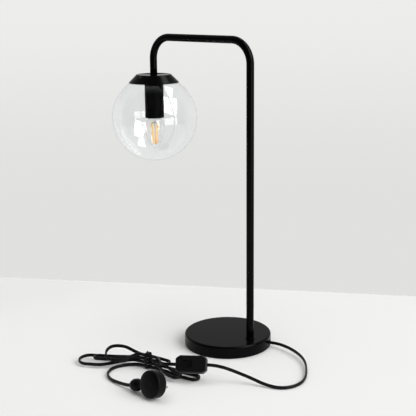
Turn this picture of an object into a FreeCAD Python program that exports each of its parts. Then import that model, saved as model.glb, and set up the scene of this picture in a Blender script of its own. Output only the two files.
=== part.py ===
import FreeCAD, Part
import math
import os
import re
import Sketcher
from FreeCAD import Placement, Rotation, Vector

# Glass table lamp: a round steel base, a bent tube, a clear globe under a cap, a candle bulb in a sleeve,
# and a flat flex with an inline rocker switch, a tied hank and a round two-pin plug.
# Origin at the centre of the base's underside, +Z up, the arm along -X. Millimetres and degrees.

doc = FreeCAD.newDocument("GlassTableLamp")

# Driving sizes: one plain number each, with what it is.
SIZES = [
    ("base_diameter", 150, "steel base across"),
    ("base_height", 21, "table to the top of the base"),
    ("base_wall", 1.2, "pressed cover's thickness"),
    ("base_edge", 3, "rounding of the cover's top edge"),
    ("rim_gap", 0.8, "table to the cover's lower rim"),
    ("pad_thickness", 2, "foam pad"),
    ("part_gap", 0.4, "gap round a loose part"),
    ("fit_gap", 0.05, "radial gap of a close fit"),
    ("foot_offset", 50, "base centre to the tube's axis"),
    ("foot_web", 5.3, "iron under the cover that the foot nut clamps"),
    ("foot_pocket", 13, "radius of the pocket round the foot nut"),
    ("stud_back", 22.5, "studs behind the base's centre"),
    ("stud_side", 39.15, "each stud from the middle line"),
    ("stud_diameter", 5, "weight studs"),
    ("stud_nut_flats", 8, "stud nut across flats"),
    ("stud_nut_height", 4, "stud nut"),
    ("exit_angle", -16.5, "where the flex leaves, from the front frame's X axis"),
    ("exit_height", 8, "flex axis above the table at the base"),
    ("bush_neck", 3.9, "radius of the bush in the cover's hole"),
    ("bush_flange", 5, "radius of the bush's flanges"),
    ("bush_flange_thickness", 0.8, "each flange"),
    ("channel_width", 14, "cable channel in the weight"),
    ("clamp_length", 5, "clamp bar along the flex"),
    ("clamp_thickness", 2, "clamp bar"),
    ("clamp_screw", 2.5, "clamp screw diameter"),
    ("tube_diameter", 12.7, "stem tube outside"),
    ("tube_wall", 1, "stem tube"),
    ("bend_radius", 38, "tube bends, to the axis"),
    ("arm_height", 524, "table to the arm's axis"),
    ("arm_reach", 218, "upright's axis to the globe's axis"),
    ("cap_drop", 64.8, "arm's axis to the cap's top"),
    ("collar_wall", 1.2, "collar round the tube's foot"),
    ("collar_height", 2.5, "collar"),
    ("nipple_wall", 1.2, "wall of the hollow nipples"),
    ("nipple_grip", 19, "nipple inside the tube"),
    ("nut_flats", 14, "foot and head nuts across flats"),
    ("nut_height", 3, "foot and head nuts"),
    ("washer_diameter", 20, "foot washer"),
    ("washer_thickness", 1.5, "foot washer"),
    ("cap_shoulder", 4.4, "cap's flat top beyond the globe's neck, each side"),
    ("cap_flare", 14.4, "cap's rim beyond its flat top, each side"),
    ("cap_wall", 1.2, "cap"),
    ("cap_edge", 0.9, "rounding of the cap's top edge"),
    ("globe_diameter", 152, "glass globe outside"),
    ("globe_wall", 1.6, "glass"),
    ("neck_diameter", 52, "globe's neck outside"),
    ("neck_height", 4, "straight neck above the ball"),
    ("seat_gap", 0.5, "neck to the cap's underside"),
    ("rim_clearance", 0.2, "cap's rim above the ball, measured at the rim's inside"),
    ("ring_gap", 0.9, "neck to the fitter ring"),
    ("globe_screw", 2.5, "globe screw diameter"),
    ("sleeve_gap", 2.1, "lampholder to the sleeve"),
    ("sleeve_wall", 0.8, "sleeve"),
    ("sleeve_length", 75, "cap's underside to the sleeve's mouth"),
    ("holder_diameter", 27.5, "lampholder outside"),
    ("holder_length", 57, "lampholder"),
    ("holder_head", 8, "threaded head of the lampholder"),
    ("holder_floor", 2.5, "floor that carries the contact"),
    ("shell_wall", 0.4, "screw shell"),
    ("shell_length", 17, "screw shell"),
    ("lamp_cap", 13.8, "bulb cap across"),
    ("lamp_cap_length", 19, "metal part of the bulb cap"),
    ("lamp_gap", 0.1, "bulb cap to the screw shell"),
    ("contact_gap", 0.3, "bulb contact to the sprung contact"),
    ("bulb_diameter", 34, "bulb's widest"),
    ("bulb_length", 99, "bulb, contact to tip"),
    ("bulb_wall", 0.7, "bulb glass"),
    ("filament_length", 35.5, "each filament"),
    ("filament_diameter", 2.6, "filament coating"),
    ("filament_spread", 7.6, "filament tops from the axis"),
    ("filament_foot", 3.1, "filament bottoms from the axis"),
    ("inner_flex_diameter", 4.4, "flex inside the lamp"),
    ("inner_turn", 7, "flex's bend under the foot"),
    ("cord_width", 5.4, "flat flex, its wider side"),
    ("cord_lead", 9.5, "flex straight out of the base"),
    ("front_angle", 41.67, "the flex is laid out square to this side of the lamp"),
    ("switch_length", 50, "inline switch"),
    ("switch_width", 27.5, "switch across its face"),
    ("switch_thickness", 16, "switch, face to back"),
    ("switch_taper", 6.5, "length of the cut corners at each end"),
    ("switch_end", 18, "width of the end faces"),
    ("switch_edge", 2.5, "rounding of the case"),
    ("switch_corner", 3, "rounding of the case's upright corners"),
    ("switch_wall", 2, "case wall"),
    ("switch_joint", 0.5, "joint of the two halves, below the middle"),
    ("case_screw", 2.6, "case screw shank"),
    ("case_screw_head", 4.8, "case screw head across"),
    ("case_screw_rise", 1.6, "case screw head's height"),
    ("rocker_length", 14, "rocker along the switch"),
    ("rocker_width", 10, "rocker across"),
    ("rocker_gap", 0.6, "rocker to the edge of its window"),
    ("rocker_offset", 7, "rocker from the middle, toward the hank"),
    ("rocker_swing", 16, "rocker, off to on"),
    ("rocker_depth", 3.2, "case face to the rocker's pivot"),
    ("rocker_rise", 3, "top of the rocker's ends above its pivot"),
    ("rocker_belly", 2.4, "underside of the rocker below its pivot"),
    ("rocker_dish", 40, "radius of the rocker's dished top"),
    ("rocker_pin", 2, "pivot pins across"),
    ("contact_offset", 7, "each contact from the pivot, along the switch"),
    ("plug_diameter", 42.5, "plug body"),
    ("plug_thickness", 16, "plug body without its dome"),
    ("plug_dome", 3, "crown of the plug's back"),
    ("grip_reach", 49.5, "plug centre to the end of its grip"),
    ("grip_radius", 9.6, "widest of the grip"),
    ("pin_length", 17.3, "pins outside the plug"),
    ("pin_width", 6.35, "pins"),
    ("pin_thickness", 1.6, "pins"),
    ("pin_circle", 7.92, "plug centre to each pin"),
    ("pin_sleeve", 8.8, "insulated length of the pins"),
    ("tie_length", 6, "tie along the hank"),
    ("tie_thickness", 0.9, "tie"),
]

# Sizes worked out from the driving ones, so that what fits together stays together.
FITS = [
    ("base_r", "base_diameter / 2"),
    ("cover_inside_r", "base_r - base_wall"),
    ("cover_under", "base_height - base_wall"),
    ("weight_r", "cover_inside_r - part_gap"),
    ("tube_r", "tube_diameter / 2"),
    ("nipple_r", "tube_r - tube_wall - fit_gap"),
    ("nipple_bore", "2 * (nipple_r - nipple_wall)"),
    ("nipple_hole_r", "nipple_r + 0.2"),
    ("washer_under", "cover_under - foot_web - washer_thickness"),
    ("foot_nut_under", "washer_under - nut_height"),
    ("head_x", "foot_offset - arm_reach"),
    ("cap_over", "arm_height - cap_drop"),
    ("cap_under", "cap_over - cap_wall"),
    ("neck_r", "neck_diameter / 2"),
    ("cap_top", "neck_diameter + 2 * cap_shoulder"),
    ("cap_rim", "cap_top + 2 * cap_flare"),
    ("sleeve_diameter", "holder_diameter + 2 * (sleeve_gap + sleeve_wall)"),
    ("globe_r", "globe_diameter / 2"),
    ("cap_slant", "cap_wall * 1.39"),
    ("rim_inside_r", "cap_rim / 2 - cap_slant"),
    ("neck_over", "cap_under - seat_gap"),
    ("globe_centre", "neck_over - neck_height - sqrt(globe_r * globe_r - neck_r * neck_r)"),
    ("cap_rim_height", "globe_centre + sqrt(globe_r * globe_r - rim_inside_r * rim_inside_r) + rim_clearance"),
    ("cap_height", "cap_over - cap_rim_height"),
    ("cap_lean", "(cap_rim - cap_top) / 2 / cap_height"),
    ("ring_under", "neck_over - neck_height + ring_gap / 2"),
    ("ring_over", "cap_under - fit_gap * 2"),
    ("ring_inside_r", "neck_r + ring_gap"),
    ("globe_screw_height", "(ring_under + ring_over) / 2"),
    ("sleeve_under", "cap_under - sleeve_length"),
    ("head_nut_under", "cap_under - sleeve_wall - nut_height"),
    ("holder_over", "head_nut_under - 0.2"),
    ("holder_under", "holder_over - holder_length"),
    ("holder_shoulder", "holder_over - holder_head"),
    ("nipple_under", "holder_shoulder - 2"),
    ("bulb_over", "holder_under + 29"),
    ("bulb_under", "bulb_over - bulb_length"),
    ("lamp_cap_r", "lamp_cap / 2"),
    ("lamp_skirt_r", "lamp_cap_r + 0.6"),
    ("mouth_over", "bulb_over - 5 - lamp_cap_length + 2.3"),
    ("bulb_neck_r", "lamp_cap_r - 1.35"),
    ("shell_r", "lamp_cap_r + lamp_gap"),
    ("holder_bore_r", "shell_r + shell_wall + fit_gap"),
    ("holder_floor_under", "bulb_over + contact_gap + 1.6"),
    ("cord_r", "cord_width / 2"),
]

sheet = doc.addObject("Spreadsheet::Sheet", "Sizes")
fits = doc.addObject("Spreadsheet::Sheet", "Fits")
HOME = {}


def with_sheets(text):
    """Put the sheet's name before each alias in an expression."""
    return re.sub(r"[a-z][a-z_]*[a-z]", lambda word: HOME.get(word.group(0), "") + word.group(0), text)


for row, (alias, number, note) in enumerate(SIZES, start=1):
    sheet.set("A%d" % row, alias)
    sheet.set("B%d" % row, str(number))
    sheet.set("C%d" % row, note)
    sheet.setAlias("B%d" % row, alias)
    HOME[alias] = "Sizes."
doc.recompute()
for row, (alias, formula) in enumerate(FITS, start=1):
    fits.set("A%d" % row, alias)
    fits.set("B%d" % row, "=" + with_sheets(formula))
    fits.setAlias("B%d" % row, alias)
    HOME[alias] = "Fits."
    doc.recompute()

SCRATCH = "D1"


def size(text):
    """The value of an expression of sheet names, worked out by the sheet."""
    fits.set(SCRATCH, "=" + with_sheets(text))
    fits.recompute()
    found = fits.get(SCRATCH)
    return float(getattr(found, "Value", found))


def bind(piece, **properties):
    """Tie a piece's properties to expressions of sheet names; x, y and z are its place, if given."""
    for name, text in properties.items():
        if text is None:
            continue
        where = "Placement.Base." + name if name in ("x", "y", "z") else name
        piece.setExpression(where, with_sheets(text))


# Small makers of solids


def cylinder(name, radius, height, x=None, y=None, z=None, turn=None):
    piece = doc.addObject("Part::Cylinder", name)
    if turn is not None:
        piece.Placement = Placement(Vector(), turn)
    bind(piece, Radius=radius, Height=height, x=x, y=y, z=z)
    return piece


def hexagon(name, flats, height, x=None, y=None, z=None):
    piece = doc.addObject("Part::Prism", name)
    piece.Polygon = 6
    bind(piece, Circumradius="(%s) / sqrt(3)" % flats, Height=height, x=x, y=y, z=z)
    return piece


def block(name, length, width, height, x, y, z):
    piece = doc.addObject("Part::Box", name)
    bind(piece, Length=length, Width=width, Height=height, x=x, y=y, z=z)
    return piece


def joined(name, pieces):
    piece = doc.addObject("Part::MultiFuse", name)
    piece.Shapes = pieces
    return piece


def group(name, pieces):
    piece = doc.addObject("Part::Compound", name)
    piece.Links = pieces
    return piece


def cut(name, base, tools):
    tool = tools[0] if len(tools) == 1 else joined(name + "_tools", tools)
    piece = doc.addObject("Part::Cut", name)
    piece.Base = base
    piece.Tool = tool
    return piece


def ring(name, outer, inner, height, x=None, y=None, z="0"):
    """A tube: radii outer and inner."""
    body = cylinder(name + "_outside", outer, height, x, y, z)
    bore = cylinder(name + "_bore", inner, "(%s) + 2" % height, x, y, "(%s) - 1" % z)
    return cut(name, body, [bore])


def plane_of(body, role):
    return [feature for feature in body.Origin.OriginFeatures if feature.Role == role][0]


def outline_sketch(body, name, points, role="XZ_Plane"):
    """A closed outline of straight lines whose corners are bound to expressions (across, up)."""
    sketch = body.newObject("Sketcher::SketchObject", name)
    sketch.AttachmentSupport = (plane_of(body, role), [""])
    sketch.MapMode = "FlatFace"
    places = [Vector(size(across), size(up), 0) for across, up in points]
    count = len(places)
    for k in range(count):
        sketch.addGeometry(Part.LineSegment(places[k], places[(k + 1) % count]), False)
    for k in range(count):
        sketch.addConstraint(Sketcher.Constraint("Coincident", k, 2, (k + 1) % count, 1))
    for k, (across, up) in enumerate(points):
        for kind, text, value in (("DistanceX", across, places[k].x), ("DistanceY", up, places[k].y)):
            if text == "0":
                axis = -2 if kind == "DistanceX" else -1
                sketch.addConstraint(Sketcher.Constraint("PointOnObject", k, 1, axis))
                continue
            index = sketch.addConstraint(Sketcher.Constraint(kind, -1, 1, k, 1, value))
            sketch.setExpression("Constraints[%d]" % index, with_sheets(text))
    return sketch


def revolved(name, points):
    """A body turned from an outline of (radius, height) expressions about its own Z axis."""
    body = doc.addObject("PartDesign::Body", name)
    sketch = outline_sketch(body, name + "_outline", points)
    turned = body.newObject("PartDesign::Revolution", name + "_turned")
    turned.Profile = sketch
    turned.ReferenceAxis = (sketch, ["V_Axis"])
    turned.Angle = 360
    doc.recompute()
    return body


def rounded(body, name, radius, wanted):
    """Round the edges of a body that the test `wanted` picks."""
    tip = body.Tip
    edges = ["Edge%d" % (k + 1) for k, edge in enumerate(tip.Shape.Edges) if wanted(edge)]
    fillet = body.newObject("PartDesign::Fillet", name)
    fillet.Base = (tip, edges)
    bind(fillet, Radius=radius)
    doc.recompute()
    return body


def circle_at(height, radius):
    """Picks full circles of this radius at this height."""
    def wanted(edge):
        curve = edge.Curve
        if not isinstance(curve, Part.Circle) or not edge.isClosed():
            return False
        return abs(curve.Center.z - height) < 1e-4 and abs(curve.Radius - radius) < 1e-4
    return wanted


def along(direction):
    """The turn that lays a piece's Z axis along a direction."""
    return Rotation(Vector(0, 0, 1), direction)


def at_head(piece):
    """Stand a piece that was made on the Z axis on the globe's axis."""
    bind(piece, x="head_x")
    return piece


PARTS = []


def part(piece, label):
    """List a finished sub-part under its node's name."""
    piece.Label = label
    PARTS.append(piece)
    return piece


# Base


def base():
    part(cylinder("pad", "base_r - base_wall - part_gap", "pad_thickness"), "base_pad")

    shell = revolved("cover_shell", [
        ("cover_inside_r", "rim_gap"), ("base_r", "rim_gap"), ("base_r", "base_height"), ("0", "base_height"),
        ("0", "cover_under"), ("cover_inside_r", "cover_under")])
    rounded(shell, "cover_top_edge", "base_edge", circle_at(size("base_height"), size("base_r")))
    rounded(shell, "cover_inner_edge", "base_edge - base_wall",
            circle_at(size("cover_under"), size("cover_inside_r")))
    foot_hole = cylinder("cover_foot_hole", "nipple_hole_r", "base_height", "foot_offset")
    cord_hole = cylinder("cover_cord_hole", "bush_neck + fit_gap", "base_wall + 6", turn=along(exit_line()))
    reach = size("cover_inside_r") - 3
    cord_hole.Placement.Base = exit_line() * reach
    bind(cord_hole, z="exit_height")
    part(cut("cover", shell, [foot_hole, cord_hole]), "base_cover")

    weight = revolved("weight_disc", [
        ("0", "pad_thickness"), ("weight_r", "pad_thickness"), ("weight_r", "cover_under - base_edge"),
        ("weight_r - base_edge", "cover_under"), ("0", "cover_under")])
    pocket = cylinder("foot_nut_pocket", "foot_pocket", "cover_under - foot_web", "foot_offset")
    hole = cylinder("weight_foot_hole", "nipple_hole_r", "base_height", "foot_offset")
    foot, line = channel_line()
    channel = slot_box("cable_channel", foot, line)
    entry = slot_box("entry_channel", flex_corner() - exit_line() * 4, exit_line())
    flange_room = cylinder("bush_pocket", "bush_flange + part_gap", "base_r", turn=along(exit_line()))
    flange_room.Placement.Base = exit_line() * (flex_start() - 0.4)
    bind(flange_room, z="exit_height")
    threads = [clamp_bar_part("weight_thread", spot, "clamp_screw / 2 + fit_gap",
                              "clamp_thickness + inner_flex_diameter + 5.2", 0) for spot in clamp_spots()]
    studs = [(cylinder("stud_hole", "stud_diameter / 2 + 0.3", "base_height", x, y),
              cylinder("stud_nut_pocket", "stud_nut_flats / 2 + 2", "pad_thickness + 5", x, y))
             for x, y in stud_places()]
    tools = [pocket, hole, channel, entry, flange_room] + threads
    part(cut("weight", weight, tools + [tool for pair in studs for tool in pair]), "base_weight")

    part(group("studs", [
        cylinder("stud", "stud_diameter / 2", "cover_under - pad_thickness - 0.8", x, y, "pad_thickness + 0.8")
        for x, y in stud_places()]), "weight_studs")
    part(group("stud_nuts", [
        cut("stud_nut", hexagon("stud_nut_body", "stud_nut_flats", "stud_nut_height", x, y, "pad_thickness + 1"),
            [cylinder("stud_nut_bore", "stud_diameter / 2 + fit_gap", "base_height", x, y)])
        for x, y in stud_places()]), "weight_nuts")


def stud_places():
    """The two studs stand behind the middle, clear of the channel."""
    return [("-stud_back", "stud_side"), ("-stud_back", "-stud_side")]


def exit_line():
    """Which way the flex leaves the base, seen from above."""
    turn = math.radians(size("exit_angle + front_angle"))
    return Vector(math.cos(turn), math.sin(turn), 0)


def flex_start():
    """How far from the base's centre the outer flex begins, at the bush's inner end."""
    return size("cover_inside_r - bush_flange_thickness - 0.3")


def flex_corner():
    """Where the flex turns toward the foot, inside the wall."""
    return exit_line() * (flex_start() - 9)


def channel_line():
    """The channel starts under the foot and points at the flex's corner."""
    foot = Vector(size("foot_offset"), 0, 0)
    return foot, (flex_corner() - foot).normalize()


def slot_box(name, start, line):
    """A box cut up from below, centred on a line, with its ceiling on top of the flex."""
    piece = doc.addObject("Part::Box", name)
    bind(piece, Length="base_r", Width="channel_width", Height="exit_height + inner_flex_diameter / 2 + fit_gap")
    side = Vector(-line.y, line.x, 0) * (size("channel_width") / 2)
    piece.Placement = Placement(start - side, Rotation(Vector(1, 0, 0), line))
    return piece


def clamp_spots():
    """Where the two clamp screws stand, either side of the flex."""
    foot, line = channel_line()
    middle = foot + line * size("foot_pocket + 8.4")
    across = Vector(-line.y, line.x, 0)
    spread = size("channel_width / 2 - clamp_screw / 2 - 0.9")
    return [middle + across * spread * side for side in (-1, 1)]


def clamp_under():
    return size("exit_height - inner_flex_diameter / 2 - clamp_thickness - fit_gap")


def clamp_bar_part(name, spot, radius, height, drop):
    """An upright cylinder at a clamp screw, starting `drop` below the bar."""
    piece = cylinder(name, radius, height)
    piece.Placement.Base = Vector(spot.x, spot.y, clamp_under() - drop)
    return piece


def cord_entry():
    """The bush in the wall, and the clamp that takes the pull."""
    wall = "base_wall"
    flange = "bush_flange_thickness"
    bush = revolved("bush", [
        ("cord_r + fit_gap", "0"), ("bush_flange", "0"), ("bush_flange", flange), ("bush_neck", flange),
        ("bush_neck", "%s + %s + 0.4" % (flange, wall)), ("bush_flange", "%s + %s + 0.4" % (flange, wall)),
        ("bush_flange", "2 * %s + %s + 0.4" % (flange, wall)),
        ("cord_r + fit_gap", "2 * %s + %s + 0.4" % (flange, wall))])
    bush.Placement = Placement(exit_line() * flex_start() + Vector(0, 0, size("exit_height")),
                               along(exit_line()))
    part(bush, "cord_bush")

    bar = doc.addObject("Part::Box", "clamp_bar")
    bind(bar, Length="clamp_length", Width="channel_width - 2 * part_gap", Height="clamp_thickness")
    first, second = clamp_spots()
    across = (second - first).normalize()
    line = Vector(across.y, -across.x, 0)
    corner = (first + second) * 0.5 - line * (size("clamp_length") / 2)
    corner = corner - across * size("channel_width / 2 - part_gap") + Vector(0, 0, clamp_under())
    bar.Placement = Placement(corner, Rotation(Vector(1, 0, 0), line))
    screws = []
    bores = []
    for spot in clamp_spots():
        screws.append(joined("clamp_screw_one", [
            clamp_bar_part("clamp_screw_head", spot, "clamp_screw * 0.85", "1.3", 1.35),
            clamp_bar_part("clamp_screw_shank", spot, "clamp_screw / 2",
                           "clamp_thickness + inner_flex_diameter + 5.1", 0.2)]))
        bores.append(clamp_bar_part("clamp_bore", spot, "clamp_screw / 2 + fit_gap",
                                    "clamp_thickness + 2", 1))
    part(cut("clamp", bar, bores), "cord_clamp")
    part(group("clamp_screws", screws), "cord_clamp_screws")


# Stem


def stem():
    part(ring("collar", "tube_r + collar_wall", "tube_r + fit_gap", "collar_height", "foot_offset",
              z="base_height"), "foot_collar")
    part(ring("foot_thread", "nipple_r", "nipple_bore / 2", "base_height + nipple_grip - foot_nut_under",
              "foot_offset", z="foot_nut_under"), "foot_nipple")
    part(ring("foot_disc", "washer_diameter / 2", "nipple_r + fit_gap", "washer_thickness", "foot_offset",
              z="washer_under"), "foot_washer")
    nut = hexagon("foot_nut_body", "nut_flats", "nut_height", "foot_offset", z="foot_nut_under")
    bore = cylinder("foot_nut_bore", "nipple_r + fit_gap", "base_height", "foot_offset")
    part(cut("foot_lock", nut, [bore]), "foot_nut")

    body = doc.addObject("PartDesign::Body", "tube")
    spine = body.newObject("Sketcher::SketchObject", "tube_line")
    spine.AttachmentSupport = (plane_of(body, "XZ_Plane"), [""])
    spine.MapMode = "FlatFace"
    foot_x, head_x = size("foot_offset"), size("head_x")
    low, high, end, bend = size("base_height"), size("arm_height"), size("cap_over"), size("bend_radius")
    corner = high - bend
    spine.addGeometry(Part.LineSegment(Vector(foot_x, low, 0), Vector(foot_x, corner, 0)), False)
    spine.addGeometry(Part.ArcOfCircle(
        Part.Circle(Vector(foot_x - bend, corner, 0), Vector(0, 0, 1), bend), 0, math.pi / 2), False)
    spine.addGeometry(Part.LineSegment(Vector(foot_x - bend, high, 0), Vector(head_x + bend, high, 0)), False)
    spine.addGeometry(Part.ArcOfCircle(
        Part.Circle(Vector(head_x + bend, corner, 0), Vector(0, 0, 1), bend), math.pi / 2, math.pi), False)
    spine.addGeometry(Part.LineSegment(Vector(head_x, corner, 0), Vector(head_x, end, 0)), False)
    for first, first_end, second, second_end in ((0, 2, 1, 1), (1, 2, 2, 1), (2, 2, 3, 1), (3, 2, 4, 1)):
        spine.addConstraint(Sketcher.Constraint("Tangent", first, first_end, second, second_end))
    spine.addConstraint(Sketcher.Constraint("Vertical", 0))
    spine.addConstraint(Sketcher.Constraint("Horizontal", 2))
    spine.addConstraint(Sketcher.Constraint("Vertical", 4))
    for kind, line, point, value, text in (
            ("DistanceX", 0, 1, foot_x, "foot_offset"), ("DistanceY", 0, 1, low, "base_height"),
            ("DistanceY", 2, 1, high, "arm_height"), ("DistanceX", 4, 2, head_x, "head_x"),
            ("DistanceY", 4, 2, end, "cap_over")):
        index = spine.addConstraint(Sketcher.Constraint(kind, -1, 1, line, point, value))
        spine.setExpression("Constraints[%d]" % index, with_sheets(text))
    for arc in (1, 3):
        index = spine.addConstraint(Sketcher.Constraint("Radius", arc, bend))
        spine.setExpression("Constraints[%d]" % index, with_sheets("bend_radius"))
    profile = body.newObject("Sketcher::SketchObject", "tube_section")
    profile.AttachmentSupport = (plane_of(body, "XY_Plane"), [""])
    profile.MapMode = "FlatFace"
    profile.setExpression("AttachmentOffset.Base.x", with_sheets("foot_offset"))
    profile.setExpression("AttachmentOffset.Base.z", with_sheets("base_height"))
    for text in ("tube_r", "tube_r - tube_wall"):
        circle = profile.addGeometry(Part.Circle(Vector(), Vector(0, 0, 1), size(text)), False)
        profile.addConstraint(Sketcher.Constraint("Coincident", circle, 3, -1, 1))
        index = profile.addConstraint(Sketcher.Constraint("Radius", circle, size(text)))
        profile.setExpression("Constraints[%d]" % index, with_sheets(text))
    doc.recompute()
    pipe = body.newObject("PartDesign::AdditivePipe", "tube_bent")
    pipe.Profile = profile
    pipe.Spine = (spine, ["Edge1", "Edge2", "Edge3", "Edge4", "Edge5"])
    doc.recompute()
    part(body, "stem_tube")


# Head


def cone_r(height):
    """Outside radius of the cap's cone at a height, as an expression."""
    return "cap_top / 2 + (cap_over - (%s)) * cap_lean" % height


def head():
    cap = revolved("cap_cone", [
        ("nipple_hole_r", "cap_under"), ("nipple_hole_r", "cap_over"), ("cap_top / 2", "cap_over"),
        ("cap_rim / 2", "cap_rim_height"), ("cap_rim / 2 - cap_slant", "cap_rim_height"),
        (cone_r("cap_under") + " - cap_slant", "cap_under")])
    rounded(cap, "cap_top_edge", "cap_edge", circle_at(size("cap_over"), size("cap_top / 2")))
    screw_bores = [globe_screw("cap_screw_bore_%d" % k, k, "globe_screw / 2 + 0.15", "0") for k in range(3)]
    part(at_head(cut("cap", cap, screw_bores)), "globe_cap")

    fitter = revolved("fitter", [
        ("ring_inside_r", "ring_under"), (cone_r("ring_under") + " - cap_slant - fit_gap", "ring_under"),
        (cone_r("ring_over") + " - cap_slant - fit_gap", "ring_over"), ("ring_inside_r", "ring_over")])
    ring_bores = [globe_screw("ring_screw_bore_%d" % k, k, "globe_screw / 2 + fit_gap", "0") for k in range(3)]
    part(at_head(cut("fitter_cut", fitter, ring_bores)), "fitter_ring")
    screws = [globe_screw("globe_screw_%d" % k, k, "globe_screw / 2", "neck_r + fit_gap") for k in range(3)]
    part(at_head(group("globe_grub_screws", screws)), "globe_screws")

    ball = doc.addObject("Part::Sphere", "ball_outside")
    bind(ball, Radius="globe_r", z="globe_centre")
    hollow = doc.addObject("Part::Sphere", "ball_inside")
    bind(hollow, Radius="globe_r - globe_wall", z="globe_centre")
    neck = cylinder("neck_outside", "neck_r", "neck_over - globe_centre", z="globe_centre")
    bore = cylinder("neck_inside", "neck_r - globe_wall", "globe_r + 1", z="globe_centre")
    part(at_head(cut("globe", joined("globe_outside", [ball, neck]), [hollow, bore])), "glass_globe")

    part(at_head(ring("head_thread", "nipple_r", "nipple_bore / 2", "cap_over + nipple_grip - nipple_under",
                      z="nipple_under")), "head_nipple")
    nut = hexagon("head_nut_body", "nut_flats", "nut_height", z="head_nut_under")
    nut_bore = cylinder("head_nut_bore", "nipple_r + fit_gap", "nut_height + 2", z="head_nut_under - 1")
    part(at_head(cut("head_lock", nut, [nut_bore])), "head_nut")

    part(at_head(revolved("sleeve", [
        ("nipple_hole_r", "cap_under - sleeve_wall"), ("sleeve_diameter / 2 - sleeve_wall",
                                                        "cap_under - sleeve_wall"),
        ("sleeve_diameter / 2 - sleeve_wall", "sleeve_under"), ("sleeve_diameter / 2", "sleeve_under"),
        ("sleeve_diameter / 2", "cap_under"), ("nipple_hole_r", "cap_under")])), "holder_sleeve")


def globe_screw(name, index, radius, start):
    """A radial cylinder through the fitter ring to the cone's face, a third of a turn apart."""
    turn = math.radians(30 + 120 * index)
    way = Vector(math.cos(turn), math.sin(turn), 0)
    outer = cone_r("globe_screw_height") if start != "0" else "cap_rim / 2 + 2"
    piece = cylinder(name, radius, "%s - (%s)" % (outer, start), turn=along(way))
    piece.Placement.Base = way * size(start)
    bind(piece, z="globe_screw_height")
    return piece


def lampholder():
    part(at_head(revolved("holder", [
        ("nipple_r + fit_gap", "holder_over"), ("nipple_r + 3", "holder_over"),
        ("nipple_r + 3", "holder_shoulder"), ("holder_diameter / 2", "holder_shoulder - 2"),
        ("holder_diameter / 2", "holder_under"), ("lamp_skirt_r + part_gap", "holder_under"),
        ("lamp_skirt_r + part_gap", "mouth_over"), ("holder_bore_r", "mouth_over"),
        ("holder_bore_r", "holder_floor_under"), ("1.5", "holder_floor_under"),
        ("1.5", "holder_floor_under + holder_floor"),
        ("holder_diameter / 2 - 3", "holder_floor_under + holder_floor"),
        ("holder_diameter / 2 - 3", "holder_shoulder - 4"), ("nipple_r + fit_gap", "holder_shoulder - 2")])),
        "holder_body")
    part(at_head(ring("shell", "shell_r + shell_wall", "shell_r", "shell_length", z="mouth_over + 0.1")),
         "holder_screw_shell")
    part(at_head(revolved("sprung_contact", [
        ("0", "bulb_over + contact_gap"), ("4", "bulb_over + contact_gap"),
        ("4", "bulb_over + contact_gap + 1.2"), ("1.4", "bulb_over + contact_gap + 1.2"),
        ("1.4", "holder_floor_under + holder_floor + 1.5"), ("0", "holder_floor_under + holder_floor + 1.5")])),
        "holder_contact")


# Bulb


def bulb():
    base_top = "bulb_over - 5"
    base_end = "bulb_over - 5 - lamp_cap_length"
    cap_outline = [("lamp_cap_r - 1.3", base_end), ("lamp_skirt_r", base_end),
                   ("lamp_skirt_r", base_end + " + 1.5")]
    for k in range(5):
        foot = "%s + %s" % (base_end, 3.0 + 2.8 * k)
        cap_outline += [("lamp_cap_r - 0.7", foot), ("lamp_cap_r", foot + " + 0.9"),
                        ("lamp_cap_r", foot + " + 1.5")]
    cap_outline += [("lamp_cap_r - 0.8", base_top), ("lamp_cap_r - 1.3", base_top)]
    part(at_head(revolved("lamp_cap_shell", cap_outline)), "bulb_cap")
    part(at_head(revolved("lamp_insulator", [
        ("0", base_top + " - 1"), ("lamp_cap_r - 1.35", base_top + " - 1"), ("lamp_cap_r - 1.35", base_top),
        ("3.2", "bulb_over - 2"), ("0", "bulb_over - 2")])), "bulb_insulator")
    part(at_head(revolved("lamp_contact", [
        ("0", "bulb_over - 2"), ("2.6", "bulb_over - 2"), ("2.3", "bulb_over - 0.5"), ("1.4", "bulb_over"),
        ("0", "bulb_over")])), "bulb_contact")

    glass_top = size("bulb_over - 5 - lamp_cap_length") + 2
    wall = size("bulb_wall")
    outer = candle_solid(0, glass_top)
    inner = candle_solid(wall, glass_top)
    glass = doc.addObject("Part::Feature", "candle")
    glass.Shape = outer.cut(inner)
    glass.Placement = Placement(Vector(size("head_x"), 0, 0), Rotation())
    part(glass, "bulb_glass")

    stem_top = "bulb_over - 4 - lamp_cap_length"
    upper = filament_top()
    stem = revolved("glass_stem", [
        ("0", stem_top), ("bulb_neck_r - bulb_wall", stem_top), ("4.2", stem_top + " - 3"),
        ("2.2", stem_top + " - 9"),
        ("1.9", "%.3f" % (upper + 6)), ("1.0", "%.3f" % (upper + 3.2)), ("0", "%.3f" % (upper + 3.2))])
    part(at_head(stem), "bulb_stem")

    places = [math.radians(90 * k) for k in range(4)]
    spread, foot, length = size("filament_spread"), size("filament_foot"), size("filament_length")
    drop = math.sqrt(length * length - (spread - foot) ** 2)
    bottom = upper - drop
    filaments = []
    leads = [rod("centre_wire", Vector(0, 0, bottom - 1.6), Vector(0, 0, upper + 3.3), 0.35)]
    for k, turn in enumerate(places):
        way = Vector(math.cos(turn), math.sin(turn), 0)
        start = way * spread + Vector(0, 0, upper)
        end = way * foot + Vector(0, 0, bottom)
        filaments.append(rod("filament_%d" % k, start, end, size("filament_diameter") / 2))
        leads.append(rod("upper_wire_%d" % k, start + (start - end).normalize() * 0.02,
                         Vector(0, 0, upper + 2.6), 0.35))
        leads.append(rod("lower_wire_%d" % k, end + (end - start).normalize() * 0.02,
                         Vector(0, 0, bottom - 1.4), 0.35))
    part(at_head(group("filament_set", filaments)), "bulb_filaments")
    part(at_head(joined("lead_set", leads)), "bulb_leads")


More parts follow.
